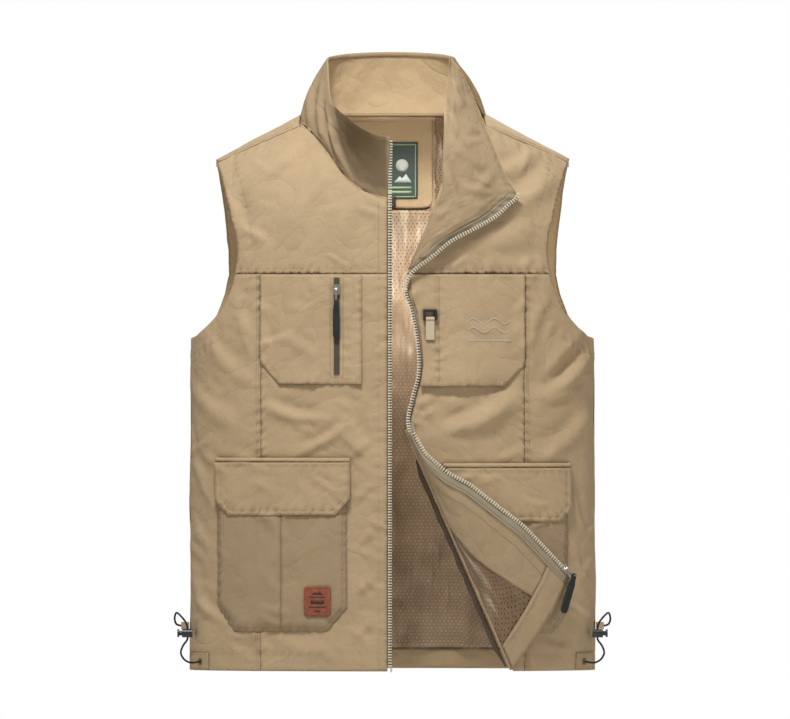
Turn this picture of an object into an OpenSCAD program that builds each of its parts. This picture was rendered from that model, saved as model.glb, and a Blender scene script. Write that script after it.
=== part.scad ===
// Fishing vest, worn shape, partly unzipped: open lapel, turned-back corner.
// Heights are measured up from the hem while modelling, then the whole vest
// drops so that the origin lies between the shoulders. The front faces -Y.

/* [Body] */
// Half of the width across the chest
half_width = 250; // [240:1:265]
// Half of the depth, front to back
half_depth = 112; // [106:1:118]
// Height of the yoke seam above the hem
yoke_z = 490; // [484:1:496]
// Height of the neck points above the hem
neck_z = 686; // [680:1:692]
// Thickness of the shell cloth with its seams
cloth = 1.2; // [0.8:0.1:1.4]

/* [Zips] */
// Width of the moulded teeth
chain_w = 5; // [4:0.5:6]
// Length of the chest zip
chest_zip_l = 119; // [110:1:121]

/* [Pockets] */
// Clear depth inside a cargo pocket
pouch_gap = 5.5; // [5:0.1:6]
// Clear depth inside the side-entry chest pocket
slot_gap = 5.2; // [5:0.1:5.6]

/* [Cords] */
// Diameter of the elastic hem cord
cord_d = 2.5; // [2:0.1:3]
// Travel of a cord lock button
press = 3; // [2:0.5:3]

/* [Hidden] */
$fn = 32;

khaki = [0.75, 0.65, 0.50];
khaki_dark = [0.62, 0.52, 0.38];
mesh_brown = [0.55, 0.43, 0.31];
teeth_grey = [0.80, 0.78, 0.70];
black = [0.12, 0.13, 0.13];

// Space between layers of cloth
air = 0.4;
// Rounding radius of the chest into the shoulder, front and back
front_round = 150;
back_round = 105;
// Shoulder ridge: height at the middle of the neck, and fall per mm outward
ridge_top = neck_z + 14;
ridge_apex = neck_z + 59;
ridge_fall = 0.514;
// Half-width of a front panel, from the middle to the princess seam
princess_x = 163;

// ---------- the body surface ----------

function ridge(x) = min(ridge_top, ridge_apex - ridge_fall * abs(x));
function rounding(h, r) = h >= r ? 1 : sqrt(max(0, 1 - pow(1 - max(h, 0) / r, 2)));
function oval(x) = sqrt(max(0, 1 - pow(x / half_width, 2)));
function depth_at(x, z, r) = half_depth * oval(x) * rounding(ridge(x) - z, r);
// Outward direction of the surface; side is -1 in front and 1 behind
function outward(x, z, r, side) =
    let (h = ridge(x) - z,
         y = side * depth_at(x, z, r),
         k = h >= r ? 0 : 1 - max(h, 0) / r,
         slope = abs(x) > 88 ? ridge_fall * sign(x) : 0,
         gx = 2 * x / pow(half_width, 2) * (1 - k * k) + 2 * pow(oval(x), 2) * k * slope / r,
         gy = 2 * y / pow(half_depth, 2),
         gz = 2 * pow(oval(x), 2) * k / r,
         n = norm([gx, gy, gz]))
    n == 0 ? [0, side, 0] : [gx, gy, gz] / n;
function body_pt(x, z, t, side) =
    let (r = side < 0 ? front_round : back_round)
    [x, side * depth_at(x, z, r), z] + t * outward(x, z, r, side);
function front_pt(x, z, t = 0) = body_pt(x, z, t, -1);
function back_pt(x, z, t = 0) = body_pt(x, z, t, 1);
// Way down the cloth from the ridge for a drop of h, and the drop for a way
turn = 180 / PI;
function way(h, r) = h < r ? r * acos(1 - max(h, 0) / r) / turn : r * PI / 2 + h - r;
function drop(w, r) = w < r * PI / 2 ? r * (1 - cos(turn * w / r)) : w - r * PI / 2 + r;
function mix(a, b, s) = a + (b - a) * s;
function steps(n) = [for (i = [0:n]) i / n];
function unit(v) = v / norm(v);

// ---------- builders ----------

// Closed slab between two grids of points with the same rows and columns
module slab(outer, inner) {
    n = len(outer);
    m = len(outer[0]);
    pts = concat([for (row = outer) each row], [for (row = inner) each row]);
    function at(layer, i, j) = layer * n * m + i * m + j;
    quads = concat(
        [for (i = [0:n - 2], j = [0:m - 2]) [at(0, i, j), at(0, i, j + 1), at(0, i + 1, j + 1), at(0, i + 1, j)]],
        [for (i = [0:n - 2], j = [0:m - 2]) [at(1, i, j), at(1, i + 1, j), at(1, i + 1, j + 1), at(1, i, j + 1)]],
        [for (i = [0:n - 2]) [at(0, i, 0), at(0, i + 1, 0), at(1, i + 1, 0), at(1, i, 0)]],
        [for (i = [0:n - 2]) [at(0, i + 1, m - 1), at(0, i, m - 1), at(1, i, m - 1), at(1, i + 1, m - 1)]],
        [for (j = [0:m - 2]) [at(0, 0, j + 1), at(0, 0, j), at(1, 0, j), at(1, 0, j + 1)]],
        [for (j = [0:m - 2]) [at(0, n - 1, j), at(0, n - 1, j + 1), at(1, n - 1, j + 1), at(1, n - 1, j)]]);
    polyhedron(pts, [for (q = quads) each [[q[0], q[1], q[2]], [q[0], q[2], q[3]]]]);
}

// Height on a column [x, low z, high z], with equal steps along the cloth
function column_z(c, s, r) =
    let (top = ridge(c[0]))
    top - drop(mix(way(top - c[1], r), way(top - c[2], r), s), r);
// Cloth over columns on the front (side -1) or back (side 1)
module columns(list, t0, t1, side, rows = 9) {
    r = side < 0 ? front_round : back_round;
    outer = [for (c = list) [for (s = steps(rows)) body_pt(c[0], column_z(c, s, r), t1, side)]];
    inner = [for (c = list) [for (s = steps(rows)) body_pt(c[0], column_z(c, s, r), t0, side)]];
    if (side < 0) slab(outer, inner);
    else slab(inner, outer);
}

// Upright wall of the lower body between two offsets, over one side or both
function arc_x(x0, x1, n) =
    let (a0 = asin(x0 / half_width), a1 = asin(x1 / half_width))
    [for (s = steps(n)) half_width * sin(mix(a0, a1, s))];
module wall(x0, x1, z0, z1, t0, t1, side = -1, n = 14) {
    xs = arc_x(x0, x1, n);
    edge0 = [for (x = xs) let (p = body_pt(x, 0, t0, side)) [p[0], p[1]]];
    edge1 = [for (i = [n:-1:0]) let (p = body_pt(xs[i], 0, t1, side)) [p[0], p[1]]];
    translate([0, 0, z0]) linear_extrude(z1 - z0) polygon(concat(edge0, edge1));
}
// Upright prism with a front outline [x, z], reaching from the middle plane
module stencil(outline, side = -1) {
    rotate([90, 0, 0])
        translate([0, 0, side < 0 ? -1 : -200])
            linear_extrude(201) polygon(outline);
}
// A wall cut to a front outline
module patch(outline, t0, t1, side = -1, n = 14) {
    xs = [for (p = outline) p[0]];
    zs = [for (p = outline) p[1]];
    intersection() {
        wall(min(xs), max(xs), min(zs), max(zs), t0, t1, side, n);
        stencil(outline, side);
    }
}
// Local frame on the front: X across, -Y out of the cloth, Z up
module on_front(x, z, t) {
    out = outward(x, z, front_round, -1);
    translate(front_pt(x, z, t)) rotate([0, 0, atan2(out[0], -out[1])]) children();
}
// Rounded plate that faces -Y, centred in X and Z
module plate(w, h, thick, r) {
    rotate([90, 0, 0]) linear_extrude(thick) {
        square([w - 2 * r, h], center = true);
        square([w, h - 2 * r], center = true);
        for (x = [-1, 1], y = [-1, 1]) translate([x * (w / 2 - r), y * (h / 2 - r)]) circle(r);
    }
}
// Flat bar swept along points, with a width direction and a height direction at each
module bar(path, across, up, w0, w1, t0, t1) {
    n = len(path);
    rings = [for (i = [0:n - 1]) [
        path[i] + across[i] * w0 + up[i] * t0, path[i] + across[i] * w1 + up[i] * t0,
        path[i] + across[i] * w1 + up[i] * t1, path[i] + across[i] * w0 + up[i] * t1]];
    sides = [for (i = [0:n - 2], k = [0:3])
        [4 * i + k, 4 * i + (k + 1) % 4, 4 * i + 4 + (k + 1) % 4, 4 * i + 4 + k]];
    polyhedron([for (ring = rings) each ring], concat(
        [[0, 2, 1], [0, 3, 2]],
        [for (q = sides) each [[q[0], q[1], q[2]], [q[0], q[2], q[3]]]],
        [[4 * n - 4, 4 * n - 3, 4 * n - 2], [4 * n - 4, 4 * n - 2, 4 * n - 1]]));
}
function tangent(p, i) = unit(p[min(i + 1, len(p) - 1)] - p[max(i - 1, 0)]);

// ---------- shell ----------

armhole_low = [[248, 411], [230, 424], [212, 443], [200, 466], [194, yoke_z]];
back_armhole_low = [[248, 411], [232, 422], [218, 440], [208, 466], [203, yoke_z]];
function flip(list) = [for (p = list) [-p[0], p[1]]];
function side_outline(hole) =
    concat([[princess_x + 0.3, 0], [half_width, 0], [half_width, 411]], hole, [[princess_x + 0.3, yoke_z]]);

module side_panel(t0, t1) patch(side_outline(armhole_low), t0, t1, -1, 12);
module left_side_panel() color(khaki) side_panel(0, cloth);
module right_side_panel() color(khaki) mirror([1, 0, 0]) side_panel(0, cloth);

right_edge_x = -6;
module right_front_panel()
    color(khaki) wall(-princess_x, right_edge_x, 0, yoke_z, 0, cloth, -1, 10);

// Fold line of the turned-back corner
fold_top = [17, 298];
fold_low = [146, 2];
left_edge = [[17, yoke_z], [20, 467], [28, 446], [36, 409], [38, 370], [31, 341], [24, 309], [19, 298]];
left_front_outline = concat([[princess_x, 0], [princess_x, yoke_z]], left_edge, [[149, 0]]);
module left_front_panel() color(khaki) patch(left_front_outline, 0, cloth, -1, 10);

module back_panel() {
    outline = concat([[-half_width, 0]], flip([[half_width, 411]]), flip(back_armhole_low),
        [for (i = [4:-1:0]) back_armhole_low[i]], [[half_width, 411], [half_width, 0]]);
    color(khaki) patch(outline, 0, cloth, 1, 28);
}

// Front yoke columns: x, low z, high z; the top follows the neck, then the shoulder seam
yoke_cols = [
    [19, yoke_z, 586], [41, yoke_z, 595], [55, yoke_z, 606], [66, yoke_z, 620], [76, yoke_z, 639],
    [88, yoke_z, 654], [104, yoke_z, 669], [116, yoke_z, 671], [140, yoke_z, 661], [165, yoke_z, 650],
    [188, yoke_z, 640], [192, 530, 638], [197, 552, 636], [204, 584, 633], [212, 614, 629], [215, 624, 628]];
module right_front_yoke()
    color(khaki) mirror([1, 0, 0]) columns(concat([[-right_edge_x, yoke_z, 583]], yoke_cols), 0, cloth, -1);
// The left yoke starts at the roll line of the lapel
left_yoke_cols = concat(
    [[18, yoke_z, 494], [30, yoke_z, 512], [46, yoke_z, 560], [60, yoke_z, 600], [66, yoke_z, 618]],
    [for (i = [4:len(yoke_cols) - 1]) yoke_cols[i]]);
module left_front_yoke() color(khaki) columns(left_yoke_cols, 0, cloth, -1);

// Back yoke: over the shoulders to the front seam
back_yoke_cols = [
    [0, yoke_z, 687], [30, yoke_z, 687], [60, yoke_z, 687], [88, yoke_z, 687], [104, yoke_z, 687],
    [116, yoke_z, ridge(116)], [140, yoke_z, ridge(140)], [165, yoke_z, ridge(165)],
    [190, yoke_z, ridge(190)]];
shoulder_cols = [
    [116, 671.6, ridge(116)], [140, 661.6, ridge(140)], [165, 650.6, ridge(165)], [190, 640, ridge(190)]];
// Edge of the armhole behind, and the height of the seam in front of the shoulder there
back_armhole_up = [[203, yoke_z], [204, 507], [205, 523], [206, 540], [207.7, 557],
    [209.3, 573], [211, 590], [213.3, 604], [215.7, 618], [218, 632]];
front_seam_fall = 0.427;
function front_seam(x) = 634 - front_seam_fall * (x - back_armhole_up[0][0]);
module half_back_yoke() {
    columns(concat(back_yoke_cols, [for (p = back_armhole_up) [p[0], p[1], ridge(p[0])]]), 0, cloth, 1, 14);
    columns(concat(shoulder_cols, [for (p = back_armhole_up) [p[0], front_seam(p[0]), ridge(p[0])]]), 0, cloth, -1, 4);
}
module back_yoke() color(khaki) {
    half_back_yoke();
    mirror([1, 0, 0]) half_back_yoke();
}

// ---------- inside layers ----------

lining_in = -3.2;
lining_out = -2.2;
module back_lining() {
    outline = [[-236, 27], [-236, 400], [-214, 424], [-186, 455], [-180, 560],
        [180, 560], [186, 455], [214, 424], [236, 400], [236, 27]];
    color(mesh_brown) intersection() {
        wall(-236, 236, 27, 560, lining_in, lining_out, 1, 28);
        stencil(outline, 1);
    }
}
module left_front_lining() {
    outline = [[151, 2], [232, 2], [232, 398], [208, 424], [192, 452], [188, 480], [60, 480], [60, 210]];
    color(mesh_brown) patch(outline, lining_in, lining_out, -1, 12);
}
module right_front_lining() {
    outline = flip([[40, 2], [232, 2], [232, 398], [208, 424], [192, 452], [188, 480], [40, 480]]);
    color(mesh_brown) patch(outline, lining_in, lining_out, -1, 12);
}
// Facing below the back neck seam, one straight drop behind the label
neck_in = -2;
neck_out = -1;
facing_cols = [[0, 572, 686], [34, 572, 686], [44, 574, 686], [50, 582, 686]];
module back_neck_facing() color(khaki_dark) {
    columns(facing_cols, neck_in, neck_out, 1, 8);
    mirror([1, 0, 0]) columns(facing_cols, neck_in, neck_out, 1, 8);
}
// Turned-up hem on the inside of the back
module hem_band() color(khaki_dark) wall(-236, 236, 0, 26, -1.6, -0.5, 1, 24);

// Facing ribbon inside an armhole: edge points [x, z] going up the front, then down the back
hole_front = [[249, 411], [230, 425], [213, 444], [202, 466], [196, 489], [194, 525], [199, 555], [206, 588], [217, 625]];
hole_back = [[217, 625], [211, 590], [208, 545], [206, 500], [210, 468], [219, 441], [233, 423], [249, 411]];
facing_w = 18;
rib_in = -1.9;
rib_out = -0.9;
function rib(list, t, side) = [for (p = list) [
    body_pt(p[0], p[1] - (p[0] > 240 ? facing_w : 0), t, side),
    body_pt(p[0] - (p[0] > 240 ? 1 : facing_w), p[1] - (p[0] > 240 ? facing_w + 8 : 0), t, side)]];
module armhole_facing() {
    front_part = [for (i = [1:8]) hole_front[i]];
    back_part = [for (i = [0:6]) hole_back[i]];
    slab(rib(front_part, rib_in, -1), rib(front_part, rib_out, -1));
    slab(rib(back_part, rib_in, 1), rib(back_part, rib_out, 1));
}
module left_armhole_facing() color(khaki_dark) armhole_facing();
module right_armhole_facing() color(khaki_dark) mirror([1, 0, 0]) armhole_facing();

// ---------- collar and lapel ----------

// Base and top of the standing collar, from the front end round the back
collar_base = [
    [-6, -108, 584.5], [-19, -107, 587.5], [-41, -103, 596.5], [-55, -99, 607.5], [-66, -93, 621.5],
    [-76, -88, 640.5], [-88, -78, 655.5], [-104, -52, 671], [-114, -24, 681], [-114, 4, 688],
    [-104, 30, 689], [-80, 44, 689], [-40, 52, 689], [0, 54, 689], [40, 52, 689], [80, 44, 689],
    [104, 30, 689], [114, 4, 689], [114, -12, 687]];
collar_top = [
    [-3, -110, 658], [-22, -106, 661], [-40, -100, 669], [-54, -93, 680], [-66, -86, 690],
    [-73, -76, 697], [-77, -62, 706], [-79, -44, 724], [-81, -20, 746], [-81, 2, 757],
    [-76, 20, 760], [-58, 34, 763], [-30, 43, 765], [0, 46, 765], [30, 43, 765], [58, 34, 763],
    [74, 20, 760], [78, 4, 758], [77, -6, 757]];
function flat_out(v) = unit([v[0], v[1], 0]);
function collar_grid(t) = [for (i = [0:len(collar_base) - 1])
    let (out = flat_out(mix(collar_base[i], collar_top[i], 0.5)))
    [for (s = steps(3)) mix(collar_base[i], collar_top[i], s) + t * out + 3 * sin(180 * s) * out]];
module collar_outer() color(khaki) slab(collar_grid(0), collar_grid(1));
module collar_inner() color(khaki_dark) slab(collar_grid(-1.4), collar_grid(-0.4));

// Lapel rows: roll line point, then outer edge point
lapel_rows = [
    [[71, -14, 756], [74, -11, 757]],
    [[67, -36, 727], [91, -16, 728]],
    [[65, -60, 704], [102, -24, 704]],
    [[63, -88, 671], [115, -52, 671]],
    [[62, -104, 644], [126, -75, 644]],
    [[61, -112, 609], [140, -88, 609]],
    [[61, -115, 590], [150, -92, 588]],
    [[50, -117, 567], [132, -102, 565]],
    [[42, -118, 550], [106, -112, 549]],
    [[34, -118, 532], [72, -118, 533]],
    [[26, -117, 514], [48, -119, 515]],
    [[19, -116, 496], [25, -118, 499]]];
function lapel_grid(t) = [for (row = lapel_rows) [for (s = steps(6))
    mix(row[0], row[1], s) + (t + 5 * sin(180 * s)) * [0.25, -0.97, 0]]];
module lapel_shell() color(khaki) slab(lapel_grid(0), lapel_grid(1));
module lapel_facing() color(khaki_dark) slab(lapel_grid(1.4), lapel_grid(2.4));

// ---------- labels inside the neck ----------

module on_back_inside(x, z, t) translate([x, back_pt(x, z, 0)[1] - t, z]) children();
module neck_label() {
    path = [for (z = [585:12:657]) back_pt(0, z, -3.2)];
    n = len(path);
    up = [for (p = path) -outward(0, p[2], back_round, 1)];
    color([0.18, 0.26, 0.22]) bar(path, [for (p = path) [-1, 0, 0]], up, -31.5, 31.5, 0, 1);
}
module size_tag() color(black) on_back_inside(0.5, 581, 4.7) plate(7, 13, 0.8, 0.5);

// ---------- zips ----------

right_zip_z = [6, 120, 245, 370, 490, 530, 560, 584];
right_zip_path = [for (z = right_zip_z) front_pt(-3, z, -0.4)];
right_zip_out = [for (z = right_zip_z) outward(-3, z, front_round, -1)];
module right_zip_teeth()
    color(teeth_grey) bar(right_zip_path, [for (p = right_zip_path) [1, 0, 0]], right_zip_out, -chain_w / 2, chain_w / 2, 0, 2.4);
module right_zip_tape()
    color(khaki_dark) bar(right_zip_path, [for (p = right_zip_path) [1, 0, 0]], right_zip_out, -16, -2.8, -1, 0);
module zip_pin() color(teeth_grey) translate(front_pt(-1.6, -1, 0.6)) cylinder(h = 6.6, r = 1.3);

// Left zip: from the lapel tip along its edge and down the front edge: x, z, offset
left_zip_knots = [
    [147, 582, 16], [128, 557, 18], [102, 541, 19], [74, 527, 14], [51, 510, 12], [26.5, 494, 9.5],
    [17, 480, 6], [16, 466, 3.4], [23, 446, 3], [30.5, 409, 3], [32.5, 370, 3], [25.5, 341, 3], [19, 310, 3.4]];
left_zip_path = [for (k = left_zip_knots) front_pt(k[0], k[1], k[2])];
left_zip_up = [for (k = left_zip_knots) outward(k[0], k[1], front_round, -1)];
left_zip_across = [for (i = [0:len(left_zip_path) - 1]) unit(cross(left_zip_up[i], tangent(left_zip_path, i)))];
module left_zip_teeth()
    color(teeth_grey) bar(left_zip_path, left_zip_across, left_zip_up, -chain_w / 2, chain_w / 2, -2.4, 0);
// Tape behind the front edge
front_tape_z = [462, 446, 409, 370, 341, 312];
front_tape_x = [27, 33, 41, 43, 36, 30];
module left_zip_tape() {
    path = [for (i = [0:5]) front_pt(front_tape_x[i], front_tape_z[i], -1.6)];
    up = [for (i = [0:5]) outward(front_tape_x[i], front_tape_z[i], front_round, -1)];
    color(khaki_dark) bar(path, [for (u = up) [u[1], -u[0], 0]], up, -6, 5, 0, 1);
}

// Slider block in its own frame: -Y is out of the cloth, Z runs along the teeth
eye_y = -4.6;
module slider_block(w, l) {
    plate(w, l, 2.4, 2);
    for (x = [-3, 1.6]) translate([x, -5.8, -1.4]) cube([1.4, 4, 2.8]);
    translate([-2, eye_y, 0]) rotate([0, 90, 0]) cylinder(h = 4, r = 0.8);
}
// Metal link that hangs from the slider's bar, with a round eye at the top
module link(l) {
    translate([0, eye_y, 0]) rotate([0, 90, 0]) translate([0, 0, -1.2]) linear_extrude(2.4) difference() {
        union() {
            circle(2);
            translate([0, -1]) square([l, 2]);
        }
        circle(1.2);
    }
}
module grip(w, l, thick, drop) translate([0, eye_y + thick / 2, -drop - l / 2]) plate(w, l, thick, w * 0.4);

// ---------- chest pockets ----------

pocket_t = cloth + air;
chest_left = [[-161, yoke_z - 2], [-161, 381], [-140, 355], [-38, 355], [-38, yoke_z - 2]];
chest_zip_x = -68.5;
chest_rest_z = 471;
module right_chest_pocket() color(khaki) difference() {
    patch(chest_left, pocket_t, pocket_t + cloth, -1, 10);
    translate([chest_zip_x - 4, -130, 366]) cube([8, 60, 121]);
}
module on_chest_zip(z) on_front(chest_zip_x, z, pocket_t + 0.2) children();
module chest_zip_coil() color(khaki_dark) on_chest_zip(426) {
    rotate([90, 0, 0]) linear_extrude(1.2) square([6.8, chest_zip_l], center = true);
}
module chest_slider() color(teeth_grey) on_chest_zip(chest_rest_z) translate([0, -1.5, 0]) slider_block(8, 13);
module chest_pull_link() color(teeth_grey) on_chest_zip(chest_rest_z) translate([0, -1.5, 0]) link(12);
module chest_pull_grip() color(black) on_chest_zip(chest_rest_z) translate([0, -1.5, 0]) grip(9, 48, 2.4, 12.4);

// Side-entry pocket: pouch wall with closed top, bottom and outer side, open towards the zip
slot_wall = pocket_t + slot_gap;
module left_chest_pocket() color(khaki) {
    outline = [[55.5, 355], [137, 355], [160, 376], [160, yoke_z - 2], [55.5, yoke_z - 2]];
    hollow = [[54, 359], [135, 359], [156, 378], [156, yoke_z - 6], [54, yoke_z - 6]];
    difference() {
        patch(outline, pocket_t, slot_wall + cloth, -1, 10);
        patch(hollow, pocket_t - 1, slot_wall, -1, 12);
    }
}
// Plastic holder with a round lower bar, and a webbing tab that hangs from it
bar_y = -2.6;
bar_z = -5;
module on_tool() on_front(46, 440, pocket_t + 0.4) children();
module tool_ring() color(black) on_tool() {
    rotate([90, 0, 0]) linear_extrude(5) difference() {
        square([17, 13], center = true);
        translate([0, -5]) square([12, 17], center = true);
    }
    translate([-7, bar_y, bar_z]) rotate([0, 90, 0]) cylinder(h = 14, r = 1.2);
}
module tool_tab() color([0.80, 0.74, 0.60]) on_tool() translate([0, bar_y, bar_z]) difference() {
    union() {
        rotate([0, 90, 0]) cylinder(h = 10.6, r = 2.4, center = true);
        translate([0, 1, -14]) plate(10.6, 24, 2, 0.6);
    }
    rotate([0, 90, 0]) cylinder(h = 12, r = 1.5, center = true);
}
// Raised embroidery: two waves over a bar
module wave(w, h) polygon(concat(
    [for (s = steps(12)) [w * (s - 0.5), h * sin(720 * s)]],
    [for (s = steps(12)) [w * (0.5 - s), -h * sin(720 * s) - 2]]));
module chest_badge() color([0.82, 0.74, 0.60]) on_front(118, 424, slot_wall + cloth + 2.4) rotate([90, 0, 0])
    linear_extrude(0.8) {
        translate([0, 8]) wave(52, 3);
        translate([0, -2]) wave(52, 3);
        translate([-26, -17]) square([52, 4]);
    }

// ---------- cargo pockets ----------

pouch_wall = pocket_t + pouch_gap;
cargo_side = 4;
module cargo(x0, x1, z0, z1, cut) {
    outline = [[x0, z0 + cut], [x0, z1], [x1, z1], [x1, z0 + cut], [x1 - cut * 0.7, z0], [x0 + cut * 0.7, z0]];
    in0 = x0 + cargo_side;
    in1 = x1 - cargo_side;
    low = z0 + cargo_side;
    hollow = [[in0, low + cut], [in0, z1 + 9], [in1, z1 + 9], [in1, low + cut], [in1 - cut * 0.7, low], [in0 + cut * 0.7, low]];
    difference() {
        patch(outline, pocket_t, pouch_wall + cloth, -1, 12);
        patch(hollow, pocket_t - 1, pouch_wall, -1, 14);
    }
}
cargo_low = 48.5;
cargo_high = 252;
module right_cargo_pocket() color(khaki) cargo(-216, -56, cargo_low, cargo_high, 30);
module right_cargo_welt() color(khaki) wall(-215, -53, 258, 263, pocket_t, pocket_t + 2.4, -1, 10);
flap_t = pouch_wall + cloth + air;
flap_outline = [[-215, 211], [-215, 256.4], [-52, 256.4], [-52, 211], [-69, 194], [-199, 194]];
module right_cargo_flap() color(khaki) patch(flap_outline, flap_t, flap_t + cloth, -1, 12);
module leather_patch() color([0.62, 0.30, 0.20]) on_front(-91, 86.5, pouch_wall + cloth + 0.5) plate(32, 37, 1.4, 4);

module left_cargo_pocket() color(khaki) intersection() {
    cargo(56, 216, 46, 246, 28);
    stencil([[62, 246], [168, 4], [260, 4], [260, 250], [62, 250]]);
}
left_flap_outline = [[62, 250], [62, 246], [87, 190], [202, 190], [216, 203], [216, 250]];
module left_cargo_flap() color(khaki) patch(left_flap_outline, flap_t, flap_t + cloth, -1, 12);

// ---------- turned-back corner ----------

fold_a = front_pt(fold_top[0], fold_top[1], 4);
fold_b = front_pt(fold_low[0], fold_low[1], 4);
// Zip edge of the corner: share of the way down, x, z, offset from the body
corner_edge = [
    [0, 23.5, 292, 8], [0.15, 37.5, 267, 12], [0.3, 64, 243, 15], [0.45, 90, 229, 16],
    [0.6, 113, 210, 16], [0.75, 154, 177, 16], [1, 208, 115, 16]];
function edge_axis(k) = [for (e = corner_edge) [e[0], front_pt(e[1], e[2], e[3])[k]]];
edge_x = edge_axis(0);
edge_y = edge_axis(1);
edge_z = edge_axis(2);
function zip_edge(a) = [lookup(a, edge_x), lookup(a, edge_y), lookup(a, edge_z)];
function fold_edge(a) = mix(fold_a, fold_b, a);
function corner_pt(a, s, t) =
    let (p = mix(fold_edge(a), zip_edge(a), s), out = outward(p[0], 0, front_round, -1))
    p + out * (t + (5 + 6 * a) * sin(180 * s));
function mesh_share(a) = lookup(a, [[0.42, 0.03], [0.905, 0.58]]);
// The corner's layers share these rows, so they stay the same distance apart
upper_rows = [0.03, 0.09, 0.15, 0.225, 0.3, 0.375, 0.45];
lower_rows = [0.525, 0.6, 0.675, 0.75, 0.83, 0.905];
hem_rows = [0.912, 0.955, 1];
function corner_grid(rows, low, high, t) = [for (a = rows)
    [for (s = steps(8)) corner_pt(a, mix(low(a), high(a), s), t)]];
module corner_layer(rows, low, high, t)
    slab(corner_grid(rows, low, high, t), corner_grid(rows, low, high, t + 1));
near_fold = function(a) 0.06;
far_edge = function(a) 1;
mesh_edge = function(a) mesh_share(a);
facing_edge = function(a) a < 0.45 ? 0.06 : mesh_share(a) + 0.02;
inner_t = 1.5;
module corner_shell() color(khaki)
    corner_layer(concat(upper_rows, lower_rows, hem_rows), near_fold, far_edge, 0);
module corner_facing() color(khaki)
    corner_layer(concat(upper_rows, lower_rows), facing_edge, far_edge, inner_t);
module corner_mesh() color(mesh_brown)
    corner_layer(concat([0.49], lower_rows), near_fold, mesh_edge, inner_t);
module corner_hem() color(khaki_dark)
    corner_layer(hem_rows, near_fold, far_edge, inner_t);

// The lowest stretch of the teeth is straight and untwisted, for the slider
zip_dir = unit(zip_edge(0.75) - zip_edge(1));
slider_x = 196;
slider_out = outward(slider_x, 0, front_round, -1);
zip_out = unit(slider_out - zip_dir * (slider_out * zip_dir));
corner_zip_path = [for (e = corner_edge) zip_edge(e[0])];
corner_zip_up = [for (i = [0:6]) i < 5 ? outward(corner_zip_path[i][0], 0, front_round, -1) : zip_out];
teeth_gap = 1;
corner_zip_across = [for (i = [0:6]) unit(cross(corner_zip_up[i], tangent(corner_zip_path, i)))];
module corner_zip_teeth()
    color(teeth_grey) bar(corner_zip_path, corner_zip_across, corner_zip_up, teeth_gap, teeth_gap + chain_w, 0.2, 2.6);

// Frame of the main slider on that straight stretch
slider_start = 12;
slider_lift = 3.6;
zip_side = cross(-zip_out, zip_dir);
slider_at = zip_edge(1) + zip_dir * slider_start
    + corner_zip_across[6] * (teeth_gap + chain_w / 2) + zip_out * slider_lift;
module on_main_zip() multmatrix([
    [zip_side[0], -zip_out[0], zip_dir[0], slider_at[0]],
    [zip_side[1], -zip_out[1], zip_dir[1], slider_at[1]],
    [zip_side[2], -zip_out[2], zip_dir[2], slider_at[2]],
    [0, 0, 0, 1]]) children();
module main_slider() color(teeth_grey) on_main_zip() slider_block(9, 12);
// The link lies along the teeth and ends in a pin that the grip hangs from
link_l = 12;
pin_r = 1;
pull_turn = 65;
module main_pull_link() color(teeth_grey) on_main_zip() {
    link(link_l);
    translate([0, eye_y + 1.4, -link_l]) rotate([90, 0, 0]) cylinder(h = 7, r = pin_r);
}
module main_pull_grip() color(black)
    on_main_zip() translate([0, eye_y - 1.4, -link_l]) rotate([0, pull_turn, 0]) difference() {
        translate([0, 0, -23]) plate(11, 52, 3, 4.4);
        rotate([90, 0, 0]) cylinder(h = 12, r = pin_r + 0.3, center = true);
    }

// ---------- hem hardware ----------

module hem_patch() color(khaki_dark) difference() {
    wall(224, 247, 0, 22, pocket_t - 0.2, pocket_t + 0.8, -1, 4);
    on_front(236, 11, 0) rotate([90, 0, 0]) cylinder(h = 20, r = 3, center = true);
}
module left_hem_patch() hem_patch();
module right_hem_patch() mirror([1, 0, 0]) hem_patch();
// Webbing loop at the side seam that the cord passes through
module cord_tab() color(khaki_dark) translate([252, -8, 55]) rotate([0, 90, 0]) linear_extrude(10) difference() {
    square([9, 9], center = true);
    square([5, 5], center = true);
}
module left_cord_tab() cord_tab();
module right_cord_tab() mirror([1, 0, 0]) cord_tab();

// Cord lock: barrel across X with a spring button at its outer end
lock_at = [254, -34, 46];
module lock_body() color(black) translate(lock_at) difference() {
    rotate([0, 90, 0]) cylinder(h = 13, r = 5.4, center = true);
    cylinder(h = 20, r = cord_d / 2 + 0.9, center = true);
    translate([-4.6, 0, 0]) rotate([0, 90, 0]) cylinder(h = 20, r = 3.4);
}
module lock_button() color(black) translate(lock_at) difference() {
    translate([-1, 0, 0]) rotate([0, 90, 0]) {
        cylinder(h = 13.4, r = 3);
        translate([0, 0, 10.9]) cylinder(h = 2.5, r = 5);
    }
    hull() {
        cylinder(h = 20, r = cord_d / 2 + 0.9, center = true);
        translate([press, 0, 0]) cylinder(h = 20, r = cord_d / 2 + 0.9, center = true);
    }
}
module left_lock_body() lock_body();
module left_lock_button() lock_button();
module right_lock_body() mirror([1, 0, 0]) lock_body();
module right_lock_button() mirror([1, 0, 0]) lock_button();

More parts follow.
